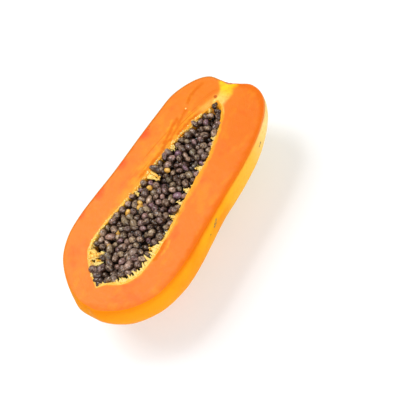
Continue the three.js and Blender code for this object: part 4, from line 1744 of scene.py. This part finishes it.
class PapayaStage(Operator):
    """Set up the floor, the lights and the camera"""

    bl_idname = "papaya.stage"
    bl_label = "Floor, lights and camera"

    def execute(self, context):
        settings = context.scene.papaya.stage
        floor = new_piece("studio_floor", *floor_body(), floor_finish(settings))
        floor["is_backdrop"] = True
        world = bpy.data.worlds.new("white_studio")
        world.use_nodes = True
        background = world.node_tree.nodes["Background"].inputs
        background["Color"].default_value = (1, 1, 1, 1)
        background["Strength"].default_value = settings.fill
        context.scene.world = world
        for name, place, size, share in LIGHTS:
            add_light(name, place, size, share * settings.key)
        add_camera(context.scene)
        context.scene.view_settings.view_transform = "Standard"
        return {"FINISHED"}


# ------------------------------------------------------------------ floor, lights, camera

# Name, place, size and share of the key light's power.
LIGHTS = (
    ("key_light", (0.0, 0.7, 1.25), 0.95, 1.0), ("glint_light", (0.1, 0.3, 1.3), 0.22, 0.14),
    ("side_light", (-0.9, -1.1, 0.75), 1.2, 0.5), ("front_light", (-0.2, -1.3, 0.7), 1.4, 0.6),
)
LIT_PLACE = (0, 0, 0.05)
FLOOR_REACH, FLOOR_FLAT, FLOOR_BEND, FLOOR_LINES = 4.0, 2.4, 0.25, 41
LOOK_AT = (0.00695, -0.03753, 0.06765)
CAMERA_PLACE = (-0.31005, -0.70133, 1.11935)
CAMERA_UP = (0.8141, 0.3479, 0.4650)
CAMERA_LENS, SENSOR_WIDTH = 134.5, 36


def floor_body():
    """Wide floor that bends up far behind the fruit."""
    steps = np.linspace(-1, 1, FLOOR_LINES) * FLOOR_REACH
    x, y = np.meshgrid(steps, steps, indexing="ij")
    far = np.maximum(np.hypot(x, y) - FLOOR_FLAT, 0)
    points = np.stack([x, y, FLOOR_BEND * far**2], axis=-1)
    return points, grid_faces(FLOOR_LINES, FLOOR_LINES)


def aim(place, target, up):
    """Matrix of an object at a place that looks at a target with its top toward up."""
    back = (Vector(place) - Vector(target)).normalized()
    right = Vector(up).cross(back).normalized()
    turn = Matrix((right, back.cross(right), back)).transposed().to_4x4()
    return Matrix.Translation(place) @ turn


def add_light(name, place, size, power):
    """Soft square light that looks at the fruit."""
    data = bpy.data.lights.new(name, "AREA")
    data.size, data.energy = size, power
    light = bpy.data.objects.new(name, data)
    light.matrix_world = aim(place, LIT_PLACE, (1, 0, 0))
    bpy.context.scene.collection.objects.link(light)


def add_camera(scene):
    """Camera that looks down on the cut face."""
    data = bpy.data.cameras.new("camera")
    data.lens, data.sensor_width, data.clip_end = CAMERA_LENS, SENSOR_WIDTH, 20
    camera = bpy.data.objects.new("camera", data)
    camera.matrix_world = aim(CAMERA_PLACE, LOOK_AT, CAMERA_UP)
    scene.collection.objects.link(camera)
    scene.camera = camera


# ------------------------------------------------------------------ panel and run

OPERATORS = (
    PapayaFlesh, PapayaSkin, PapayaScar, PapayaLining, PapayaFringe, PapayaSeeds, PapayaStage,
)
SETTINGS = (
    FleshSettings, SkinSettings, LiningSettings, FringeSettings, SeedSettings, ScarSettings,
    StageSettings, PapayaSettings,
)


class PapayaPanel(Panel):
    """Lists the pieces of the papaya half with their settings"""

    bl_idname = "VIEW3D_PT_papaya"
    bl_label = "Papaya half"
    bl_space_type = "VIEW_3D"
    bl_region_type = "UI"
    bl_category = "Papaya"

    def draw(self, context):
        groups = ("flesh", "skin", "scar", "lining", "fringe", "seeds", "stage")
        for operator, group in zip(OPERATORS, groups):
            box = self.layout.box()
            box.operator(operator.bl_idname)
            settings = getattr(context.scene.papaya, group)
            for name in type(settings).__annotations__:
                box.prop(settings, name)


def register():
    for kind in (*SETTINGS, *OPERATORS, PapayaPanel):
        bpy.utils.register_class(kind)
    bpy.types.Scene.papaya = PointerProperty(type=PapayaSettings)


def unregister():
    del bpy.types.Scene.papaya
    for kind in (PapayaPanel, *reversed(OPERATORS), *reversed(SETTINGS)):
        bpy.utils.unregister_class(kind)


def main():
    """Builds every piece in order."""
    register()
    for operator in OPERATORS:
        getattr(bpy.ops.papaya, operator.bl_idname.split(".")[1])()
    sizes = {"cad": CAD_BOX, "visual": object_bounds()}
    {name: [list(corner) for corner in box] for name, box in sizes.items()}


if __name__ == "__main__":
    main()
